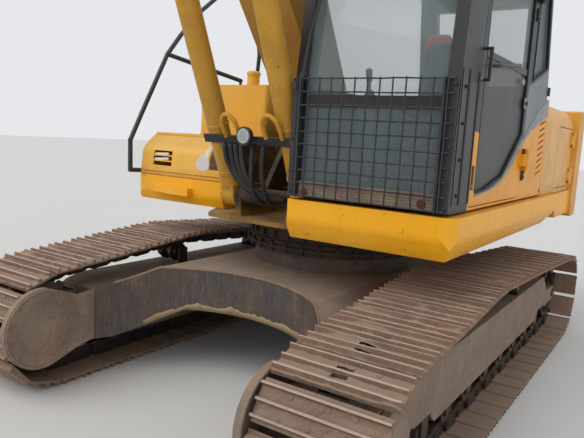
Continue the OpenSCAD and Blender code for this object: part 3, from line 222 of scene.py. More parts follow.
def paint(name, base, pale, grime, fade, dirt, chips, dust, rough, low=0.0, high=0.0, parts=None):
    """Weathered paint: faded patches, runs of grime, chips down to rust and dust on top.

    Fade, dirt, chips and dust are shares from 0 to 1. Grime also rises from low to high over the ground, and
    parts gives other colours to some of the surface.
    """
    m = Mat(name, base, rough)
    if parts:
        base, pale = parts(m, base, pale)
    patches = m.span(m.noise(1.7, 5, 0.6), 0.38, 0.68, 0, fade)
    color = m.mix(patches, base, pale)
    color = m.mix(m.span(m.noise(24, 6, 0.65), 0.35, 0.75, 0, 0.16), color, pale)
    runs = m.noise(1.0, 6, 0.62, m.scaled(11, 11, 0.9))
    runs = m.span(runs, 0.46, 0.72, 0, dirt)
    cloud = m.span(m.noise(3.1, 8, 0.66, twist=0.5), 0.42, 0.74, 0, dirt)
    dirty = m.calc("MAXIMUM", m.calc("MULTIPLY", runs, 0.7), m.calc("MULTIPLY", cloud, 0.8))
    if high > low:
        foot = m.span(m.axis("Z"), low, high, 0.55, 0.0)
        foot = m.calc("MULTIPLY", foot, m.span(m.noise(6, 7, 0.7), 0.3, 0.66))
        dirty = m.calc("MAXIMUM", dirty, foot)
    color = m.mix(dirty, color, grime)
    speck = m.both(m.span(m.noise(38, 3, 0.6), 0.66, 0.70), m.span(m.noise(4.2, 3), 0.46, 0.6))
    chip = m.calc("MULTIPLY", speck, chips)
    color = m.mix(chip, color, CHIP_RUST)
    top = m.both(m.span(m.facing("Z"), 0.55, 0.98), m.span(m.noise(5, 7, 0.7), 0.28, 0.7), dust)
    color = m.mix(top, color, DUST)
    m.set("Base Color", color)
    dull = m.span(dirty, 0, 1, rough, rough + 0.34)
    m.set("Roughness", m.calc("ADD", dull, m.calc("MULTIPLY", top, 0.3), True))
    grain = m.calc("ADD", m.calc("MULTIPLY", m.noise(60, 4), 0.35), m.calc("MULTIPLY", chip, -0.8))
    m.bump(m.calc("ADD", grain, m.calc("MULTIPLY", dirty, 0.3)), 0.16, 0.004)
    return m.material


def muddy(name, steel, mud, rust, cover, scratch, rough, depth, top_mud="8d7a66", spec=0.3):
    """Steel under dried mud and rust, scratched down its sides, with dust lying on what faces up."""
    m = Mat(name, steel, rough, 0.0, spec)
    color = m.mix(m.span(m.noise(2.3, 6, 0.65), 0.36, 0.64, 0, 0.8), steel, rust)
    splash = m.span(m.noise(4.5, 9, 0.72, twist=0.3), 0.62 - 0.3 * cover, 0.78 - 0.2 * cover)
    color = m.mix(m.calc("MULTIPLY", splash, 0.85), color, mud)
    if scratch:
        lines = m.noise(1.0, 6, 0.75, m.scaled(95, 95, 8.0), 0.6)
        color = m.mix(m.span(lines, 0.52, 0.70, 0, scratch * 0.75), color, SCRATCHES)
        lines = m.noise(1.0, 6, 0.7, m.scaled(9, 9, 2.6), 0.8)
        color = m.mix(m.span(lines, 0.48, 0.70, 0, scratch * 0.9), color, mud)
    color = m.mix(m.span(m.noise(70, 5, 0.7), 0.4, 0.8, 0, 0.35), color, SOOT)
    top = m.both(m.span(m.facing("Z"), 0.35, 0.9), m.span(m.noise(3.3, 8, 0.7), 0.22, 0.62, 0.35, 1), 0.85)
    color = m.mix(top, color, top_mud)
    m.set("Base Color", color)
    m.set("Roughness", m.span(splash, 0, 1, rough - 0.12, min(rough + 0.18, 0.97)))
    lumps = m.calc("MULTIPLY", m.noise(26, 8, 0.72), 0.7)
    lumps = m.calc("ADD", lumps, m.calc("MULTIPLY", m.noise(110, 5, 0.7), 0.3))
    m.bump(m.calc("ADD", lumps, m.calc("MULTIPLY", splash, 0.5)), depth, 0.012)
    return m.material


# Trim line on the cab's side: x and z of its lower edge, its upper edge and the grey panel's top
TRIM_LOW = [(-0.86, 1.93), (-0.42, 1.817), (-0.20, 1.729), (-0.137, 1.688), (0.046, 1.572),
            (0.223, 1.482), (0.344, 1.450), (0.52, 1.422), (0.80, 1.398), (0.806, 1.745),
            (0.902, 1.752), (0.904, 1.0), (1.3, 1.0)]
TRIM_HIGH = [(-0.86, 2.06), (-0.80, 2.04), (-0.542, 1.947), (-0.395, 1.866), (-0.187, 1.758),
             (-0.086, 1.712), (0.123, 1.578), (0.290, 1.482), (0.50, 1.434), (0.78, 1.409)]
PANEL_TOP = [(-0.88, 2.33), (-0.68, 2.235), (-0.24, 2.10), (1.3, 2.05)]


# The cab's sides lie beyond SIDE_FROM; the door's pane lies at PANE_Y and the rail across it at RAIL_Z
SIDE_FROM, PANE_Y, PANE_HALF, RAIL_Z = 1.27, 1.3, 0.0055, 2.145


def grimy_nose(m, base, pale):
    """Old grease and mud in front of the boom's foot."""
    near = m.both(m.calc("GREATER_THAN", m.along(), 0.12), m.span(m.axis("Z"), 1.13, 1.2))
    near = m.calc("MULTIPLY", near, m.span(m.noise(7, 6, 0.7), 0.30, 0.46, 0.72, 1.0))
    return m.mix(near, base, "2b2118"), m.mix(near, pale, "3a2b1c")


def tank_side(m, base, pale):
    """Dirt and painted shade, darker lower down, on the tanks' side by the boom, and a patch of bare primer
    on the toolbox's front.
    """
    y, z = m.axis("Y"), m.axis("Z")
    # The side facing the boom: partly dirt, partly painted shade, darker towards the bottom
    inner = m.both(m.span(y, -0.63, -0.61), m.span(z, 1.95, 1.60), m.calc("LESS_THAN", m.along(), 0.785))
    inner = m.calc("MULTIPLY", inner, m.span(m.noise(5, 6, 0.7), 0.3, 0.5, 0.6, 1.0))
    across = m.calc("DIVIDE", m.calc("ADD", y, 0.685), 0.072)
    height = m.calc("DIVIDE", m.calc("SUBTRACT", z, 1.435), 0.062)
    reach = m.calc("ADD", m.calc("MULTIPLY", across, across), m.calc("MULTIPLY", height, height))
    reach = m.calc("ADD", reach, m.calc("MULTIPLY", m.noise(19, 3, 0.5), 0.8))
    near = m.calc("LESS_THAN", m.calc("ABSOLUTE", m.calc("ADD", y, 0.655)), 0.018)
    run = m.both(near, m.span(z, 1.43, 1.44), m.span(z, 1.565, 1.56))
    bare = m.calc("MAXIMUM", m.calc("LESS_THAN", reach, 1.2), run)
    bare = m.both(bare, m.calc("GREATER_THAN", m.along(), 0.7))
    base, pale = m.mix(inner, base, "40301c"), m.mix(inner, pale, "4d3b25")
    return m.mix(bare, base, "dedad2"), m.mix(bare, pale, "d2cdc4")


def cab_side(m, base, pale):
    """Yellow below the trim line and a grey panel above it, behind the door."""
    x, z = m.along(), m.axis("Z")
    side = m.calc("GREATER_THAN", m.axis("Y"), SIDE_FROM)
    yellow = m.both(side, m.calc("LESS_THAN", z, m.line(x, TRIM_LOW)))
    panel = m.both(side, m.calc("LESS_THAN", z, m.line(x, PANEL_TOP)), m.calc("LESS_THAN", x, -0.18))
    base, pale = m.mix(panel, base, "6d747b"), m.mix(panel, pale, "80868a")
    return m.mix(yellow, base, "f4a204"), m.mix(yellow, pale, "f5b032")


def door_side(m, base, pale):
    """The door as the cab's side, with its pane: pale and clear above the rail, less clear below it and
    painted dark there as shade inside the cab.
    """
    base, pale = cab_side(m, base, pale)
    flat = m.calc("GREATER_THAN", m.calc("ABSOLUTE", m.facing("Y")), 0.9)
    level = m.calc("LESS_THAN", m.calc("ABSOLUTE", m.calc("SUBTRACT", m.axis("Y"), PANE_Y)), PANE_HALF)
    pane = m.both(flat, level)
    upper = m.span(m.axis("Z"), RAIL_Z, RAIL_Z + 0.005)
    m.set("Alpha", m.calc("SUBTRACT", 1.0, m.calc("MULTIPLY", pane, m.span(upper, 0, 1, 0.30, 0.72))))
    m.set("Specular IOR Level", m.span(pane, 0, 1, 0.5, 0.9))
    # Below the rail the pane is painted dark, as the shade inside the cab; above the rail it is pale glass
    pane_glass_and_shade = m.mix(upper, "3a3f40", "b9c2bf")
    return m.mix(pane, base, pane_glass_and_shade), m.mix(pane, pale, m.mix(upper, "4a4a46", "c3cbc8"))


MATS = {
    "skirt": paint("skirt_paint", "ffb200", "ffbc1c", "7a5a2c", 0.3, 0.14, 0.9, 0.5, 0.40, 1.08, 1.15),
    "cab": paint("cab_paint", "1d1e21", "303135", "4a443c", 0.4, 0.3, 0.35, 0.5, 0.4, parts=cab_side),
    "door": paint("door_paint", "1d1e21", "303135", "4a443c", 0.4, 0.3, 0.35, 0.5, 0.4, parts=door_side),
    "body": paint("body_paint", "e9a021", "edbd6a", "7d6440", 0.8, 0.3, 0.6, 0.7, 0.38, 1.31, 1.5),
    "tank": paint("tank_paint", "f2b02a", "f4c768", "76592f", 0.6, 0.2, 0.5, 0.6, 0.42, 1.31, 1.42,
                  tank_side),
    "boom": paint("boom_paint", "c98d22", "cfa24c", "5a4529", 0.6, 0.5, 1.0, 0.5, 0.5),
    "barrel": paint("cylinder_paint", "d39722", "d6a644", "5e472a", 0.6, 0.5, 1.0, 0.5, 0.46),
    "frame": paint("frame_paint", "a3752a", "8f6f3a", "2c231a", 0.5, 1.0, 1.0, 0.7, 0.6, parts=grimy_nose),
    "weight": paint("counterweight_paint", "e59e24", "e8b868", "6d5636", 0.8, 0.35, 0.6, 0.7, 0.45,
                    1.06, 1.3),
    "bucket": muddy("bucket_steel", "6d5a40", "7d6a55", "7a4a2a", 0.5, 0.5, 0.6, 0.35),
    "dark": paint("dark_paint", "26272a", "35363a", "4a443c", 0.4, 0.3, 0.35, 0.6, 0.4),
    "centre": muddy("centre_steel", "4b4b4e", "7d6b5a", "6a5344", 0.35, 0.6, 0.7, 0.3, "ad9883"),
    "side": muddy("side_frame_steel", "87776a", "aa967f", "8f7464", 0.6, 0.35, 0.8, 0.6, "96826c"),
    "track": muddy("track_steel", "83705f", "a08a75", "95705c", 0.5, 0.2, 0.85, 0.7, "a38c78"),
    "worn": muddy("worn_steel", "b39c8a", "a28b76", "b08a74", 0.25, 0.3, 0.6, 0.3, "c2ab9a", 0.45),
    "greasy": muddy("greasy_steel", "2b2724", "4a3f35", "3c2e26", 0.3, 0.0, 0.5, 0.4, "463b31", 0.5),
    "sand": muddy("sandy_mud", "a8936f", "b8a47e", "8a6f52", 0.5, 0.0, 0.9, 0.8, "b9a581"),
    "ring": muddy("ring_steel", "39322d", "5a4d42", "4e3b30", 0.5, 0.0, 0.7, 0.5, "5f5145"),
}


def plain(name, color, other, rough, metal, scale, share, bump, spec=0.5):
    """A material with fine grain: two colours mixed by a share, uneven gloss and some bump."""
    m = Mat(name, color, rough, metal, spec)
    grain = m.noise(scale, 6, 0.65)
    m.set("Base Color", m.mix(m.span(grain, 0.35, 0.7, 0, share), color, other))
    gloss = m.noise(scale * 0.6, 5, 0.6)
    m.set("Roughness", m.span(gloss, 0.3, 0.7, max(rough - 0.08, 0.05), min(rough + 0.12, 1)))
    m.bump(grain, bump, 0.003)
    return m.material


MATS["rod"] = plain("rod_chrome", "c8c8c4", "9a8f7c", 0.16, 1.0, 6, 0.3, 0.03)
MATS["rubber"] = plain("hose_rubber", "17171a", "3a342c", 0.55, 0, 30, 0.6, 0.3)
MATS["seal"] = plain("seal_rubber", "0e0e10", "1d1c1c", 0.6, 0, 40, 0.4, 0.15)
MATS["trim"] = plain("silver_trim", "8d9092", "6f6a62", 0.42, 0.2, 14, 0.5, 0.1)
MATS["rust"] = muddy("rusty_steel", "5e3a26", "7a4f34", "6e3f25", 0.4, 0.0, 0.85, 0.5, "7c5a44")
MATS["seat"] = plain("seat_fabric", "1f2124", "34363a", 0.9, 0, 220, 0.6, 0.35, 0.2)
MATS["orange"] = plain("orange_fabric", "d8492a", "a8361f", 0.9, 0, 160, 0.5, 0.3, 0.2)
MATS["console"] = plain("console_plastic", "5d6c82", "4a566a", 0.6, 0, 60, 0.4, 0.2)
MATS["interior"] = plain("interior_plastic", "2b2c2f", "3b3a39", 0.7, 0, 90, 0.5, 0.25)
MATS["engine"] = plain("engine_metal", "2e2d2c", "4a3d30", 0.7, 0.3, 12, 0.6, 0.4)
MATS["led"] = plain("lamp_lens", "b9bbb8", "8f918e", 0.18, 0.1, 60, 0.4, 0.1)
MATS["knob"] = plain("lever_rubber", "141416", "26262a", 0.55, 0, 90, 0.5, 0.2)
# Windows are a mix of clear and glossy, so that they read in the export as well
glass = Mat("window_glass", "9fb0b2", 0.04, 0.0, 0.6)
glass.set("Alpha", 0.22)
glass.material.surface_render_method = "BLENDED"
MATS["glass"] = glass.material


# Mesh helpers
def add_object(name, data, mat, body):
    """A piece that rides on a body, or on none."""
    obj = bpy.data.objects.new(name, data)
    bpy.context.scene.collection.objects.link(obj)
    for one in (mat if isinstance(mat, (list, tuple)) else [mat]):
        data.materials.append(MATS[one])
    if body:
        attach(obj, body)
    return obj


def mesh_piece(name, verts, faces, mat, body, smooth=False, bevel=0.0, picks=None):
    """A mesh with its edges bevelled; picks gives each face's material."""
    data = bpy.data.meshes.new(name)
    data.from_pydata([tuple(v) for v in verts], [], faces)
    data.update()
    obj = add_object(name, data, mat, body)
    if picks:
        for polygon, index in zip(data.polygons, picks):
            polygon.material_index = index
    bm = bmesh.new()
    bm.from_mesh(data)
    bmesh.ops.recalc_face_normals(bm, faces=bm.faces)
    if bevel:
        sharp = [e for e in bm.edges if len(e.link_faces) == 2 and e.calc_face_angle() > 0.6]
        bmesh.ops.bevel(bm, geom=sharp, offset=bevel, segments=2, affect="EDGES", profile=0.6,
                        clamp_overlap=True)
    bm.to_mesh(data)
    bm.free()
    for polygon in data.polygons:
        polygon.use_smooth = smooth
    return obj


def around(n, rings=2):
    """Faces round a form through rings of n points each, without its ends."""
    return [(i * n + k, i * n + (k + 1) % n, (i + 1) * n + (k + 1) % n, (i + 1) * n + k)
            for i in range(rings - 1) for k in range(n)]


class Kit:
    """Collects many small shapes into one mesh."""

    def __init__(self):
        self.verts, self.faces, self.picks = [], [], []

    def add(self, verts, faces, pick=0, picks=None):
        n = len(self.verts)
        self.verts += [tuple(v) for v in verts]
        self.faces += [tuple(i + n for i in face) for face in faces]
        self.picks += picks or [pick] * len(faces)

    def prism(self, center, axis, radius, depth, sides=6, turn=0.0, top=1.0, pick=0):
        """A prism or cone from center along axis."""
        axis = Vector(axis).normalized()
        e1 = axis.orthogonal().normalized()
        e2 = axis.cross(e1)
        center = Vector(center)
        verts = []
        for end, r in ((0, radius), (1, radius * top)):
            for i in range(sides):
                a = turn + 2 * PI * i / sides
                verts.append(center + axis * depth * end + (e1 * math.cos(a) + e2 * math.sin(a)) * r)
        ends = [tuple(range(sides))[::-1], tuple(range(sides, 2 * sides))]
        self.add(verts, ends + around(sides), pick)

    def bolt(self, center, axis, size):
        """A bolt's head on its washer."""
        axis = Vector(axis).normalized()
        center = Vector(center)
        self.prism(center, axis, size * 1.35, size * 0.25, 14)
        self.prism(center + axis * size * 0.2, axis, size, size * 0.85, 6, random.random(), 0.94)

    def box(self, low, high, pick=0, frame_of=None):
        xs, ys, zs = zip(low, high)
        verts = [Vector((x, y, z)) for x in xs for y in ys for z in zs]
        if frame_of:
            verts = [frame_of @ v for v in verts]
        faces = [(0, 1, 3, 2), (4, 6, 7, 5), (0, 4, 5, 1), (2, 3, 7, 6), (0, 2, 6, 4), (1, 5, 7, 3)]
        self.add(verts, faces, pick)

    def done(self, name, mat, body, bevel=0.0):
        return mesh_piece(name, self.verts, self.faces, mat, body, False, bevel, self.picks)


def profile_piece(name, outline, y0, y1, mat, body, bevel):
    """A plate of the cab's trim between y0 and y1 with its outline in x and z from the slew axis."""
    n = len(outline)
    verts = [at(x, y0, z) for x, z in outline] + [at(x, y1, z) for x, z in outline]
    ends = [tuple(range(n)), tuple(range(n, 2 * n))[::-1]]
    return mesh_piece(name, verts, ends + around(n), mat, body, False, bevel)


def round_curve(name, radius, sides):
    data = bpy.data.curves.new(name, "CURVE")
    data.dimensions = "3D"
    data.bevel_depth = radius
    data.bevel_resolution = sides
    data.use_fill_caps = True
    return data


def pipe(name, points, radius, mat, body):
    """A round pipe on a smooth line through points in the frame."""
    data = round_curve(name, radius, 5)
    data.resolution_u = 8
    line = data.splines.new("BEZIER")
    line.bezier_points.add(len(points) - 1)
    for point, p in zip(line.bezier_points, points):
        point.co = p
        point.handle_left_type = point.handle_right_type = "AUTO"
    return add_object(name, data, mat, body)


def wires(name, lines, radius, mat, body, closed=False, sides=3):
    """Round wires in one curve, each with straight runs through its points."""
    data = round_curve(name, radius, sides)
    for points in lines:
        line = data.splines.new("POLY")
        line.points.add(len(points) - 1)
        line.use_cyclic_u = closed
        for point, p in zip(line.points, points):
            point.co = (*p, 1)
    return add_object(name, data, mat, body)


def smooth_line(points, count):
    """Evenly many points of a smooth line through a few."""
    known = [Vector(p) for p in points]
    known = [2 * known[0] - known[1]] + known + [2 * known[-1] - known[-2]]
    spans = len(known) - 3
    out = []
    for i in range(count):
        t = i / (count - 1) * spans
        k = min(int(t), spans - 1)
        a, b, c, d = known[k:k + 4]
        u = t - k
        bent = (2 * a - 5 * b + 4 * c - d) * u ** 2
        out.append((2 * b + (c - a) * u + bent + (3 * b - a - 3 * c + d) * u ** 3) / 2)
    return out


def hose(name, points, radius):
    """A free hydraulic hose, on no body."""
    sides = 12
    line = smooth_line([at(*p) for p in points], 24)
    rings = []
    across = (line[1] - line[0]).orthogonal().normalized()
    for i, p in enumerate(line):
        ahead = (line[min(i + 1, len(line) - 1)] - line[max(i - 1, 0)]).normalized()
        across = (across - ahead * across.dot(ahead)).normalized()
        side = ahead.cross(across)
        for k in range(sides):
            a = 2 * PI * k / sides
            rings.append(p + (across * math.cos(a) + side * math.sin(a)) * radius)
    ends = [tuple(range(sides))[::-1], tuple(range(len(rings) - sides, len(rings)))]
    obj = mesh_piece(name, rings, ends + around(sides, len(line)), "rubber", None, True)
    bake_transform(obj)


def pad(name, size, turn, center, mat, channels=(), crown=0.22, pull=0.05):
    """A stuffed pad of the seat: crowned, pulled in between its corners, with sewn channels across it."""
    bm = bmesh.new()
    bmesh.ops.create_cube(bm, size=2)
    bmesh.ops.subdivide_edges(bm, edges=bm.edges, cuts=19, use_grid_fill=True)
    place = Matrix.Translation(center) @ Matrix.Rotation(turn, 4, "Y")
    for v in bm.verts:
        p = v.co
        q = p / (abs(p.x) ** 5 + abs(p.y) ** 5 + abs(p.z) ** 5) ** 0.2
        x, y, z = q
        top = max(z, 0)
        z = z * (1 - crown * (x * x + y * y) / 2)
        for c in channels:
            z -= 0.16 * top * math.exp(-((x - c) / 0.06) ** 2)
        z -= 0.16 * top * (math.exp(-((abs(y) - 0.62) / 0.05) ** 2))
        x *= 1 - pull * (1 - y * y)
        y *= 1 - pull * (1 - x * x)
        wrinkle = 0.012 * noise.noise(Vector((x * 3, y * 3, z * 3 + size[0] * 9)))
        v.co = place @ Vector((x * size[0] / 2, y * size[1] / 2, (z + wrinkle) * size[2] / 2))
    data = bpy.data.meshes.new(name)
    bm.to_mesh(data)
    bm.free()
    for polygon in data.polygons:
        polygon.use_smooth = True
    obj = add_object(name, data, mat, "upper")
    return obj


def between(points, x):
    """Height at x on straight pieces through points of x and z."""
    for (a, za), (b, zb) in zip(points, points[1:]):
        if x <= b:
            return za + (zb - za) * (x - a) / (b - a)
    return points[-1][1]


def dress(node, mat):
    """Gives a CAD node that keeps its shape a finished material."""
    obj = frame["nodes"][node]
    if not obj.material_slots:
        obj.data.materials.append(MATS[mat])
    for slot in obj.material_slots:
        slot.material = MATS[mat]


# Free hoses from the boom cylinders' bar down to the frame's nose, as places from the slew axis
HOSES = {
    "hose_front_low": [(1.135, -0.131, 1.600), (1.115, -0.125, 1.51), (1.095, -0.10, 1.42),
                       (1.085, -0.02, 1.33), (1.04, 0.089, 1.285), (0.955, 0.20, 1.268)],
    "hose_front_high": [(1.135, -0.043, 1.600), (1.13, -0.03, 1.49), (1.11, 0.01, 1.38),
                        (1.05, 0.09, 1.29), (0.955, 0.18, 1.262)],
    "hose_back_low": [(1.135, -0.178, 1.600), (1.10, -0.17, 1.48), (1.06, -0.085, 1.35),
                      (1.02, 0.034, 1.285), (0.95, 0.148, 1.258)],
    "hose_back_high": [(1.135, -0.088, 1.600), (1.12, -0.075, 1.49), (1.10, -0.03, 1.38),
                       (1.04, 0.045, 1.285), (0.95, 0.135, 1.256)],
    "hose_riser_inner": [(1.135, 0.044, 1.600), (1.138, 0.046, 1.47), (1.115, 0.04, 1.345),
                         (1.04, 0.042, 1.258), (0.95, 0.042, 1.243)],
    "hose_riser_outer": [(1.135, 0.127, 1.600), (1.138, 0.125, 1.47), (1.115, 0.13, 1.345),
                         (1.04, 0.115, 1.258), (0.95, 0.105, 1.243)]}
HOSE_R, RISER_R = 0.018, 0.015
for name, points in HOSES.items():
    hose(name, points, RISER_R if "riser" in name else HOSE_R)


# Tracks: chain with shoes, one after another along the loop
TUMBLER, SPROCKET_R, IDLER_R, PIN_UP = 1.82, 0.297, 0.285, 0.09
SPROCKET, IDLER = Vector((TUMBLER, PIN_UP + SPROCKET_R)), Vector((-TUMBLER, PIN_UP + IDLER_R))
CARRIERS = [Vector((0.56, 0.802)), Vector((-0.56, 0.742))]
SHOES, TRACK_Y, SHOE_W = 48, 1.195, 0.6
# A shoe's outer side and its underside, and a link: shares of the pitch, and heights out from the pins
SHOE_TOP = [(-0.505, 0.046), (-0.495, 0.064), (-0.425, 0.064), (-0.40, 0.088), (-0.345, 0.089),
            (-0.315, 0.065), (-0.19, 0.064), (-0.06, 0.064), (-0.03, 0.086), (0.03, 0.086),
            (0.06, 0.064), (0.19, 0.064), (0.315, 0.065), (0.345, 0.089), (0.40, 0.088),
            (0.425, 0.063), (0.50, 0.060), (0.505, 0.052)]
SHOE_LOW = [(-0.505, 0.046), (-0.49, 0.054), (0.49, 0.050), (0.505, 0.052)]
LINK = [(-0.58, 0), (-0.5, -0.034), (-0.3, -0.048), (0.3, -0.048), (0.5, -0.034), (0.58, 0),
        (0.46, 0.030), (0.40, 0.054), (-0.40, 0.054), (-0.46, 0.030)]
# Grousers rise over CREST, the plate between them lies in VALLEY, and COLUMNS divide a shoe's width
CREST, VALLEY, COLUMNS = 0.08, (0.0635, 0.0655), 30


def loop_points():
    """The pin line as a dense closed polyline."""
    to_front = CARRIERS[0] - SPROCKET
    front = math.atan2(to_front.y, to_front.x) - math.acos(SPROCKET_R / to_front.length)
    to_rear = CARRIERS[1] - IDLER
    rear = math.atan2(to_rear.y, to_rear.x) + math.acos(IDLER_R / to_rear.length)
    line = [Vector((-TUMBLER, PIN_UP))]
    for i in range(61):
        a = -PI / 2 + (front + PI / 2) * i / 60
        line.append(SPROCKET + Vector((math.cos(a), math.sin(a))) * SPROCKET_R)
    line += CARRIERS
    for i in range(60):
        a = rear + (3 * PI / 2 - rear) * i / 60
        line.append(IDLER + Vector((math.cos(a), math.sin(a))) * IDLER_R)
    return line


def along(line, s):
    """The point at length s along a closed polyline."""
    n = len(line)
    for i in range(n):
        p, q = line[i], line[(i + 1) % n]
        step = (q - p).length
        if s <= step:
            return p + (q - p) * (s / step if step else 0)
        s -= step
    return line[0]


def make_tracks():
    """Both chains, each shoe with worn crests, dried clods, links, a pin and bolts."""
    line = loop_points()
    total = sum((line[(i + 1) % len(line)] - line[i]).length for i in range(len(line)))
    pitch = total / SHOES
    pins = [along(line, i * pitch) for i in range(SHOES)]
    rows = len(SHOE_TOP)
    for side, name in ((1, "left"), (-1, "right")):
        kit = Kit()
        for i in range(SHOES):
            p, q = pins[i], pins[(i + 1) % SHOES]
            mid, e = (p + q) / 2, (q - p).normalized()
            out = Vector((e.y, -e.x))
            verts, faces, picks = [], [], []

            def place(s, h, y):
                flat = mid + e * s + out * h
                return at(flat.x, side * y, max(flat.y, 0.0))

            for j in range(COLUMNS + 1):
                y = TRACK_Y + SHOE_W * (j / COLUMNS - 0.5)
                edge = 1 if 0 < j < COLUMNS else 0
                for k, (s, h) in enumerate(SHOE_TOP):
                    key = Vector((i * 3.7 + s * 2, y * 9, side * 5.0))
                    rough = noise.noise(key * 1.7) + 0.5 * noise.noise(key * 5.1)
                    lift = -0.004 * max(rough, 0) if h > CREST else 0
                    if VALLEY[0] < h < VALLEY[1]:
                        clod = max(noise.noise(Vector((i * 0.61, y * 5 + side, k * 0.3))) - 0.15, 0)
                        lift = 0.010 * max(rough + 0.1, 0) + 0.030 * clod
                    verts.append(place(s * pitch, h + lift * edge, y + 0.003 * rough * (1 - edge)))
            open_holes = random.random() < 0.3
            for j in range(COLUMNS):
                y = SHOE_W * ((j + 0.5) / COLUMNS - 0.5)
                for k in range(rows - 1):
                    a = j * rows + k
                    if open_holes and k in (6, 10) and abs(y) < 0.04:
                        low = [place(SHOE_TOP[c][0] * pitch, 0.056, TRACK_Y + y + dy)
                               for c, dy in ((k, -0.01), (k + 1, -0.01), (k + 1, 0.01), (k, 0.01))]
                        kit.add(low, [(0, 1, 2, 3)], 2)
                        continue
                    faces.append((a, a + 1, a + rows + 1, a + rows))
                    picks.append(1 if SHOE_TOP[k][1] > CREST and SHOE_TOP[k + 1][1] > CREST else 0)
            n = len(verts)
            for s, h in SHOE_LOW:
                for y in (TRACK_Y - SHOE_W / 2, TRACK_Y + SHOE_W / 2):
                    verts.append(place(s * pitch, h, y))
            faces += [(n + k, n + k + 1, n + k + 3, n + k + 2) for k in (0, 2, 4)]
            for j, turn in ((0, 1), (COLUMNS, -1)):
                ring = [j * rows + k for k in range(rows)]
                low = [n + k + (1 if j else 0) for k in (6, 4, 2, 0)]
                faces.append(tuple(ring + low)[::turn])
            kit.add(verts, faces, picks=picks + [0] * 5)
            # Chain links, pin and bolts of this shoe
            shift = 0.006 if i % 2 else -0.006
            for rail in (-0.088, 0.088):
                link = []
                for y in (rail + shift - 0.015, rail + shift + 0.015):
                    link += [place(s * pitch, h, TRACK_Y + y) for s, h in LINK]
                ends = [tuple(range(len(LINK))), tuple(range(len(LINK), len(link)))[::-1]]
                kit.add(link, ends + around(len(LINK)), 2)
            start = at(p.x, side * (TRACK_Y - 0.122), p.y)
            kit.prism(start, (0, side, 0), 0.021, 0.244, 10, pick=2)
            normal = Vector((out.x, 0, out.y))
            for bolt_y in (-0.15, -0.03, 0.03, 0.15):
                for s in (-0.25, 0.25):
                    kit.prism(place(s * pitch, 0.062, TRACK_Y + bolt_y), normal, 0.012, 0.007, 6)
        piece = kit.done("track_chain_" + name, ["track", "worn", "greasy"], "undercarriage")
        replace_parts(piece, "track_" + name)


random.seed(7)
make_tracks()

# Materials of the CAD nodes that keep their shapes
LOOKS = {
    "centre": ["center_frame"],
    "side": ["track_frame_left", "track_frame_right", "sprocket_left", "sprocket_right"],
    "greasy": ["rollers_left", "rollers_right"],
    "ring": ["swing_ring_lower", "swing_ring_upper"],
    "frame": ["revolving_frame"],
    "skirt": ["deck_skirts"],
    "cab": ["cab_shell"],
    "door": ["cab_door"],
    "glass": ["cab_glass"],
    "interior": ["operator_seat"],
    "dark": ["wiper", "handrail", "lamp_bar"],
    "tank": ["toolbox", "toolbox_lid", "fuel_tank", "hydraulic_tank"],
    "engine": ["engine_block"],
    "body": ["body_panels", "side_door_left", "side_door_right", "engine_hood"],
    "weight": ["counterweight"],
    "rust": ["exhaust_pipe"],
    "boom": ["boom", "arm", "rocker_links", "push_link"],
    "barrel": ["boom_cylinder_barrels", "arm_cylinder_barrel", "bucket_cylinder_barrel"],
    "rod": ["boom_cylinder_rods", "arm_cylinder_rod", "bucket_cylinder_rod"],
    "bucket": ["bucket"]}
for mat, nodes in LOOKS.items():
    for node in nodes:
        dress(node, mat)


# Trim, seals and handles on the cab's left side, which stands at y = SIDE
SIDE = 1.320
PANE = [(-0.13, 1.77), (0.27, 1.5), (0.64, 1.425), (0.81, 1.425), (0.805, 2.43), (0.7, 2.77), (-0.13, 2.77)]
QUARTER = [(-0.68, 2.262), (-0.26, 2.13), (-0.26, 2.82), (-0.54, 2.8)]
RAIL = [(-0.12, 2.146), (0.806, 2.146), (0.806, 2.186), (-0.12, 2.186)]
# The door's grab handle: places along the machine, out from the side and over the ground
HANDLE = [(0.713, -0.004, 2.109), (0.708, 0.028, 2.110), (0.66, 0.036, 2.116),
          (0.26, 0.036, 2.166), (0.214, 0.028, 2.172), (0.209, -0.004, 2.173)]


def ribbon(name, x0, x1, body):
    """The silver trim from x0 to x1, between its lower and upper edge."""
    steps = 28
    xs = [x0 + (x1 - x0) * i / steps for i in range(steps + 1)]
    low = [(x, between(TRIM_LOW, x)) for x in xs]
    high = [(x, max(between(TRIM_HIGH, x), between(TRIM_LOW, x) + 0.008)) for x in xs]
    profile_piece(name, low + high[::-1], SIDE - 0.001, SIDE + 0.003, "trim", body, 0.001)


ribbon("cab_trim_rear", -0.858, -0.188, "upper")
ribbon("cab_trim_door", -0.176, 0.80, "cab_door")
profile_piece("door_window_rail", RAIL, 1.3045, 1.3145, "dark", "cab_door", 0.004)
wires("door_window_seal", [[at(x, SIDE - 0.006, z) for x, z in PANE]], 0.008, "seal", "cab_door",
      closed=True)
wires("quarter_window_seal", [[at(x, SIDE - 0.002, z) for x, z in QUARTER]], 0.009, "seal", "upper",
      closed=True)
wires("door_grab_handle", [[at(x, SIDE + out, z) for x, out, z in HANDLE]], 0.011, "dark", "cab_door",
      sides=5)


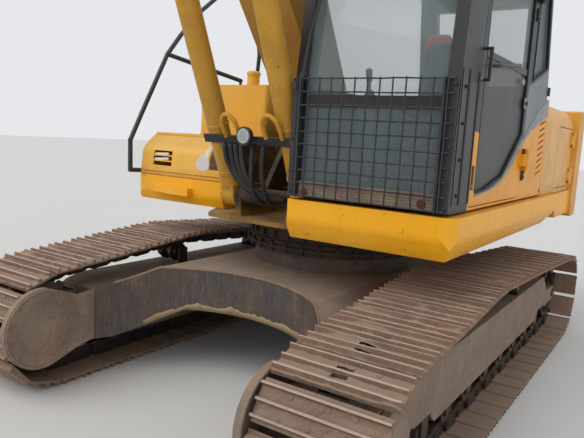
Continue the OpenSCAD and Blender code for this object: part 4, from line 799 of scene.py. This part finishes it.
def make_cab_fittings():
    """Latch plates, hinges, pillar strips and the panel with its caps under the front window."""
    kit = Kit()
    for x, z, w, h, pick in ((-0.12, 1.97, 0.05, 0.07, 0), (0.0, 2.097, 0.07, 0.035, 0),
                             (0.862, 1.505, 0.02, 0.13, 1)):
        kit.box(at(x - w / 2, SIDE - 0.002, z - h / 2), at(x + w / 2, SIDE + 0.006, z + h / 2), pick)
    kit.prism(at(-0.12, SIDE + 0.004, 1.97), OUTWARD, 0.014, 0.012, 14, pick=1)
    for z in (1.46, 2.02):
        kit.bolt(at(0.872, SIDE, z), OUTWARD, 0.008)
    kit.done("door_latch_plates", ["trim", "seal"], "cab_door", 0.003)
    kit = Kit()
    for x, z in ((-0.223, 1.635), (-0.243, 1.50), (-0.228, 2.55)):
        kit.box(at(x - 0.03, SIDE - 0.002, z - 0.035), at(x + 0.022, SIDE + 0.008, z + 0.035))
        kit.prism(at(x + 0.028, SIDE + 0.007, z - 0.04), (0, 0, 1), 0.010, 0.08, 14)
        for up in (-0.018, 0.018):
            kit.bolt(at(x - 0.014, SIDE + 0.008, z + up), OUTWARD, 0.007)
    kit.box(at(-0.80, SIDE - 0.002, 2.075), at(-0.772, SIDE + 0.014, 2.137))
    kit.prism(at(-0.849, SIDE - 0.001, 1.362), OUTWARD, 0.012, 0.006, 14)
    kit.done("cab_hinges", "dark", "upper", 0.003)
    kit = Kit()
    for x, w, pick in ((0.906, 0.014, 0), (1.052, 0.022, 0), (1.15, 0.016, 1)):
        kit.box(at(x - w / 2, SIDE - 0.002, 1.37), at(x + w / 2, SIDE + 0.0035, 2.05), pick)
    for z in (1.42, 1.60, 1.78, 1.96):
        kit.bolt(at(1.10, SIDE, z), OUTWARD, 0.008)
    kit.done("front_pillar_strips", ["seal", "dark"], "upper", 0.002)
    kit = Kit()
    for i in range(5):
        z = 1.345 + 0.016 * i
        kit.box(at(1.1965, 0.44, z), at(1.202 + 0.001 * (i % 2), 1.25, z + 0.010))
    kit.box(at(1.1962, 0.44, 1.337), at(1.1985, 1.25, 1.425))
    kit.done("splash_panel", "side", "upper", 0.002)
    kit = Kit()
    for y, z in ((0.48, 1.361), (1.181, 1.37)):
        kit.prism(at(1.198, y, z), FORWARD, 0.024, 0.009, 20)
        kit.prism(at(1.205, y, z), FORWARD, 0.013, 0.008, 6)
    kit.done("panel_caps", "rust", "upper", 0.002)


# The wire guard: its middle, the step of its wires, the face of its strips and their lower and upper end
GUARD_MID, GUARD_STEP, STRIP_X, STRIP_Z = 0.844, 0.072, 1.2035, (1.334, 1.996)


def make_guard():
    """Crossed wires, slightly bent, between two strips with bolts."""
    random.seed(11)
    lines = []
    for i in range(10):
        z = 1.990 - GUARD_STEP * i
        lines.append([at(1.220 + random.uniform(-1, 1) * 0.0012, 0.380 + 0.077 * k,
                         z + random.uniform(-1, 1) * 0.0016) for k in range(13)])
    for i in range(-6, 7):
        y = GUARD_MID + GUARD_STEP * i
        lines.append([at(1.226 + random.uniform(-1, 1) * 0.0012, y + random.uniform(-1, 1) * 0.0016,
                         1.337 + 0.066 * k) for k in range(11)])
    mesh = wires("guard_wires", lines, 0.0043, "dark", "upper")
    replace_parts(mesh, "mesh_guard")
    kit = Kit()
    low, high = STRIP_Z
    for y, inner in ((0.402, 1), (1.286, -1)):
        fold = y + inner * 0.028
        kit.box(at(1.1963, y - 0.034, low), at(STRIP_X, y + 0.034, high))
        kit.box(at(STRIP_X, fold - 0.006, low), at(1.230, fold + 0.006, high))
        for i in range(8):
            kit.prism(at(1.2032, y - inner * 0.006, 1.39 + 0.08 * i), FORWARD, 0.008, 0.0012, 16, pick=1)
        for z in (1.36, 1.66, 1.965):
            kit.bolt(at(STRIP_X, y - inner * 0.018, z), FORWARD, 0.010)
    kit.box(at(1.204, 0.384, 1.93), at(1.234, 0.41, 1.975))
    strips = kit.done("guard_strips", ["dark", "greasy"], "upper", 0.002)
    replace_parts(strips, "mesh_guard")


# The seat: its place along and across the machine, and the outline of its consoles from there
SEAT_X, SEAT_Y = 0.16, 0.844
CONSOLE = [(-0.19, 1.51), (0.29, 1.51), (0.36, 1.70), (0.44, 1.89), (0.42, 1.93), (0.35, 1.95), (0.1, 1.905),
           (-0.18, 1.85)]
# A control lever's parts over its console: place along and over it, lean, radius, length, sides and taper
LEVER = [(0.0, 0.0, 0.1, 0.045, 0.03, 20, 0.8), (0.003, 0.028, 0.15, 0.036, 0.035, 20, 0.5),
         (0.008, 0.05, 0.2, 0.010, 0.07, 14, 1.0), (0.020, 0.11, 0.2, 0.018, 0.075, 18, 1.25),
         (0.035, 0.182, 0.2, 0.0225, 0.012, 18, 0.6)]


def make_seat():
    """Floor mat, seat with its base, consoles, control levers and pedals."""
    x, y = SEAT_X, SEAT_Y
    kit = Kit()
    kit.box(at(-0.80, 0.425, 1.383), at(1.04, 1.255, 1.407), 1)
    for i in range(14):
        kit.box(at(0.44 + 0.042 * i, 0.50, 1.407), at(0.462 + 0.042 * i, 1.19, 1.411), 1)
    kit.box(at(x - 0.25, y - 0.19, 1.41), at(x + 0.21, y + 0.19, 1.66))
    for i in range(5):
        kit.box(at(x - 0.26, y - 0.2, 1.44 + 0.036 * i), at(x + 0.22, y + 0.2, 1.458 + 0.036 * i))
    kit.box(at(x - 0.28, y - 0.22, 1.66), at(x + 0.25, y + 0.22, 1.70))
    base = kit.done("seat_base", ["interior", "rubber"], "upper", 0.006)
    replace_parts(base, "operator_seat")
    sides = []
    for side, hand in ((-1, "right"), (1, "left")):
        c = y + side * 0.33
        outline = [(x + dx, z) for dx, z in CONSOLE]
        console = profile_piece("console_" + hand, outline, c - 0.063, c + 0.063, "console", "upper", 0.016)
        sides.append(console)
        pad("armrest_" + hand, (0.30, 0.115, 0.05), -0.12, at(x - 0.03, c, 1.895), "seat")
        kit = Kit()
        for dx, dz, lean, radius, length, count, taper in LEVER:
            foot = at(x + 0.38, c, 1.93) + Vector((dx, 0, dz))
            kit.prism(foot, (lean, 0, 1), radius, length, count, top=taper)
        sides.append(kit.done("control_lever_" + hand, "knob", "upper", 0.003))
    kit = Kit()
    for side in (-1, 1):
        c = y + side * 0.09
        turn = Matrix.Translation(at(0.84, c, 1.43)) @ Matrix.Rotation(-0.5, 4, "Y")
        kit.box((-0.02, -0.04, 0.0), (0.16, 0.04, 0.012), 0, turn)
        for i in range(6):
            kit.box((0.024 * i, -0.036, 0.012), (0.012 + 0.024 * i, 0.036, 0.016), 0, turn)
        kit.prism(at(0.86, c, 1.41), (0.2, 0, 1), 0.010, 0.16, 12)
    sides.append(kit.done("travel_pedals", "knob", "upper", 0.003))
    for piece in sides:
        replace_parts(piece, "operator_seat")
    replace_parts(pad("seat_cushion", (0.52, 0.47, 0.13), -0.05, at(x, y, 1.765), "seat",
                    (-0.35, 0.35)), "operator_seat")
    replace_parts(pad("seat_front_panel", (0.40, 0.20, 0.06), -1.36, at(-0.085, 0.715, 2.235), "orange",
                    (0.0,), 0.15, 0.03), "operator_seat")
    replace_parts(pad("seat_back", (0.58, 0.46, 0.12), -1.36, at(x - 0.275, y, 2.10), "seat",
                    (-0.5, 0.0, 0.5)), "operator_seat")


LAMP = (1.206, 0.027, 1.656)


def make_lamp():
    """The work lamp's rim and lens, with one lens in the middle and six round it."""
    kit = Kit()
    c = at(*LAMP)
    kit.prism(c - Vector((0.004, 0, 0)), FORWARD, 0.057, 0.007, 32, top=0.96)
    kit.prism(c + Vector((0.0005, 0, 0)), FORWARD, 0.046, 0.004, 32, pick=1)
    for r, n in ((0.0, 1), (0.024, 6)):
        for i in range(n):
            a = 2 * PI * i / n
            spot = c + Vector((0.003, r * math.cos(a), r * math.sin(a)))
            kit.prism(spot, FORWARD, 0.0105, 0.003, 18, top=0.8, pick=1)
    kit.done("lamp_face", ["dark", "led"], "boom_barrels", 0.001)


# The cross frame's webs curve round a circle beyond each end. Of each lip: share of the half width, height
# and half width of its level part, fall beyond that, reach, thickness, how low it sits, height of the lumps
# and their share at the web
WEB_X, WEB_R, WEB_HALF = 1.887, 0.897, 0.80
LIPS = {"lower": (0.86, 0.452, 0.48, 0.5625, 0.045, 0.022, 0.0, 0.020, 1.6),
        "upper": (1.0, 0.742, 0.62, 0.552, 0.012, 0.014, 0.012, 0.006, 0.3)}


def make_arch_flanges():
    """Lips along the cross frame's curved webs, with dried mud lying on them."""
    steps = 96
    for side, name in ((1, "front"), (-1, "rear")):
        for edge, (share, level, flat, fall, reach, thick, sink, high, back) in LIPS.items():
            verts = []
            for i in range(steps + 1):
                y = share * (2 * WEB_HALF * i / steps - WEB_HALF)
                face = WEB_X - math.sqrt(WEB_R ** 2 - y ** 2)
                z = level - fall * max(abs(y) - flat, 0) - sink
                lump = 0.5 + noise.noise(Vector((y * 9, side * 3, 1)))
                lump = max(lump + 0.5 * noise.noise(Vector((y * 31, side, 4))), 0) * high
                for dx, dz in ((-0.004, 0), (reach, 0), (reach, thick), (reach * 0.5, thick + lump),
                               (-0.004, thick + lump * back)):
                    verts.append(at(side * (face - dx), y, z + dz))
            faces = around(5, steps + 1) + [(4, 3, 2, 1, 0), tuple(steps * 5 + k for k in range(5))]
            mesh_piece("arch_" + name + "_" + edge + "_lip", verts, faces,
                       "sand" if edge == "lower" else "side", "undercarriage", True)


# The boom cylinders' foot in x and z, their lean over the ground in degrees and their place to each side
CYLINDER_FOOT, CYLINDER_LEAN, BARREL_Y = (0.890, 1.262), 66.17, 0.28
# An arched pipe on the bar: length along the cylinders, place ahead of them and share of its half width
ARCH = [(0.455, 0.078, -1), (0.53, 0.090, -1), (0.585, 0.097, -0.7), (0.61, 0.100, 0), (0.585, 0.097, 0.7),
        (0.53, 0.090, 1), (0.455, 0.078, 1)]


def circle(count, shift=0.0):
    return [2 * PI * (i + shift) / count for i in range(count)]


def make_front_fittings():
    """Arched pipes on the bar, collars on the barrels, the step on the right skirt and the toolbox's bead."""
    lean = math.radians(CYLINDER_LEAN)
    axis = Vector((math.cos(lean), 0, math.sin(lean)))
    ahead = Vector((math.sin(lean), 0, -math.cos(lean)))
    foot_x, foot_z = CYLINDER_FOOT
    for name, y, half in (("bar_pipe_right", -0.10, 0.055), ("bar_pipe_left", 0.215, 0.06)):
        points = [at(foot_x, y + half * share, foot_z) + axis * s + ahead * d for s, d, share in ARCH]
        pipe(name, points, 0.014, "barrel", "boom_barrels")
    rings = []
    for side in (-1, 1):
        for s in (0.168, 0.182, 0.50, 0.508):
            center = at(foot_x, side * BARREL_Y, foot_z) + axis * s
            rings.append([center + (Vector((0, math.sin(a), 0)) - ahead * math.cos(a)) * 0.071
                          for a in circle(40)])
    wires("barrel_collars", rings, 0.0055, "barrel", "boom_barrels", closed=True)
    outline = [(-1.176, 0.0), (-0.90, 0.055), (-0.76, 0.055), (-0.76, 0.0)]
    verts = [at(0.797 + d, y, z) for z in (1.185, 1.245) for y, d in outline]
    faces = [(0, 1, 2, 3), (7, 6, 5, 4)] + around(4)
    mesh_piece("skirt_step", verts, faces, "skirt", "upper", False, 0.006)
    wires("toolbox_bead", [[at(0.796, y, 1.352) for y in (-1.30, -1.0, -0.7, -0.49)]], 0.006, "tank", "upper")


# The travel motors' guards: their middle in x and z, their inner face, and the circle of their bolts
MOTOR_X, MOTOR_Z, MOTOR_FACE, BOLT_R = 1.962, 0.430, 0.847, 0.198


def make_guard_rims():
    """Raised rims and bolts round the travel motors' guards."""
    for side, name in ((1, "left"), (-1, "right")):
        rings = []
        for r in (0.236, 0.16):
            rings.append([at(MOTOR_X + r * math.cos(a), side * (MOTOR_FACE - 0.002),
                             MOTOR_Z + r * math.sin(a)) for a in circle(64)])
        wires("motor_guard_rim_" + name, rings, 0.007, "side", "undercarriage",
              closed=True)
        kit = Kit()
        for a in circle(12, 0.5):
            spot = at(MOTOR_X + BOLT_R * math.cos(a), side * MOTOR_FACE, MOTOR_Z + BOLT_R * math.sin(a))
            kit.bolt(spot, (0, -side, 0), 0.011)
        kit.done("motor_guard_bolts_" + name, "side", "undercarriage")


make_cab_fittings()
make_front_fittings()
make_guard_rims()
make_guard()
make_seat()
make_lamp()
make_arch_flanges()


# Floor, world and lamps
def make_stage():
    """A plain floor, a soft light from all sides and two suns."""
    m = Mat("floor_plain", "d9d8d4", 0.9, 0.0, 0.1)
    m.set("Base Color", m.mix(m.span(m.noise(0.8, 4), 0.3, 0.7, 0, 0.2), "dcdbd7", "cfcec9"))
    data = bpy.data.meshes.new("floor")
    half = 60
    data.from_pydata([(-half, -half, 0), (half, -half, 0), (half, half, 0), (-half, half, 0)], [],
                     [(0, 1, 2, 3)])
    data.materials.append(m.material)
    floor = bpy.data.objects.new("floor", data)
    floor.location.z = -0.001
    bpy.context.scene.collection.objects.link(floor)
    world = bpy.data.worlds.new("studio")
    world.use_nodes = True
    bpy.context.scene.world = world
    tree = world.node_tree
    tree.nodes.clear()
    out = tree.nodes.new("ShaderNodeOutputWorld")
    # What the camera sees is a pale backdrop, what lights the machine is the sky
    both = tree.nodes.new("ShaderNodeMixShader")
    light, view = tree.nodes.new("ShaderNodeBackground"), tree.nodes.new("ShaderNodeBackground")
    light.inputs[0].default_value = rgb("eef2f8")
    light.inputs[1].default_value = 0.62
    view.inputs[0].default_value = rgb("e6e8ec")
    view.inputs[1].default_value = 1.0
    path = tree.nodes.new("ShaderNodeLightPath")
    total = path.outputs["Is Camera Ray"]
    for name in ("Is Glossy Ray", "Is Transmission Ray"):
        add = tree.nodes.new("ShaderNodeMath")
        add.operation = "MAXIMUM"
        tree.links.new(total, add.inputs[0])
        tree.links.new(path.outputs[name], add.inputs[1])
        total = add.outputs[0]
    tree.links.new(total, both.inputs[0])
    tree.links.new(light.outputs[0], both.inputs[1])
    tree.links.new(view.outputs[0], both.inputs[2])
    tree.links.new(both.outputs[0], out.inputs[0])
    for name, power, size, turn in (("key", 1.25, 0.9, (0.72, 0.18, 0.9)),
                                    ("fill", 0.55, 1.4, (-0.9, 0.3, -0.5))):
        lamp = bpy.data.lights.new(name, "SUN")
        lamp.energy = power
        lamp.angle = size
        obj = bpy.data.objects.new(name, lamp)
        obj.rotation_euler = turn
        bpy.context.scene.collection.objects.link(obj)


make_stage()
bpy.context.scene.view_settings.view_transform = "Standard"
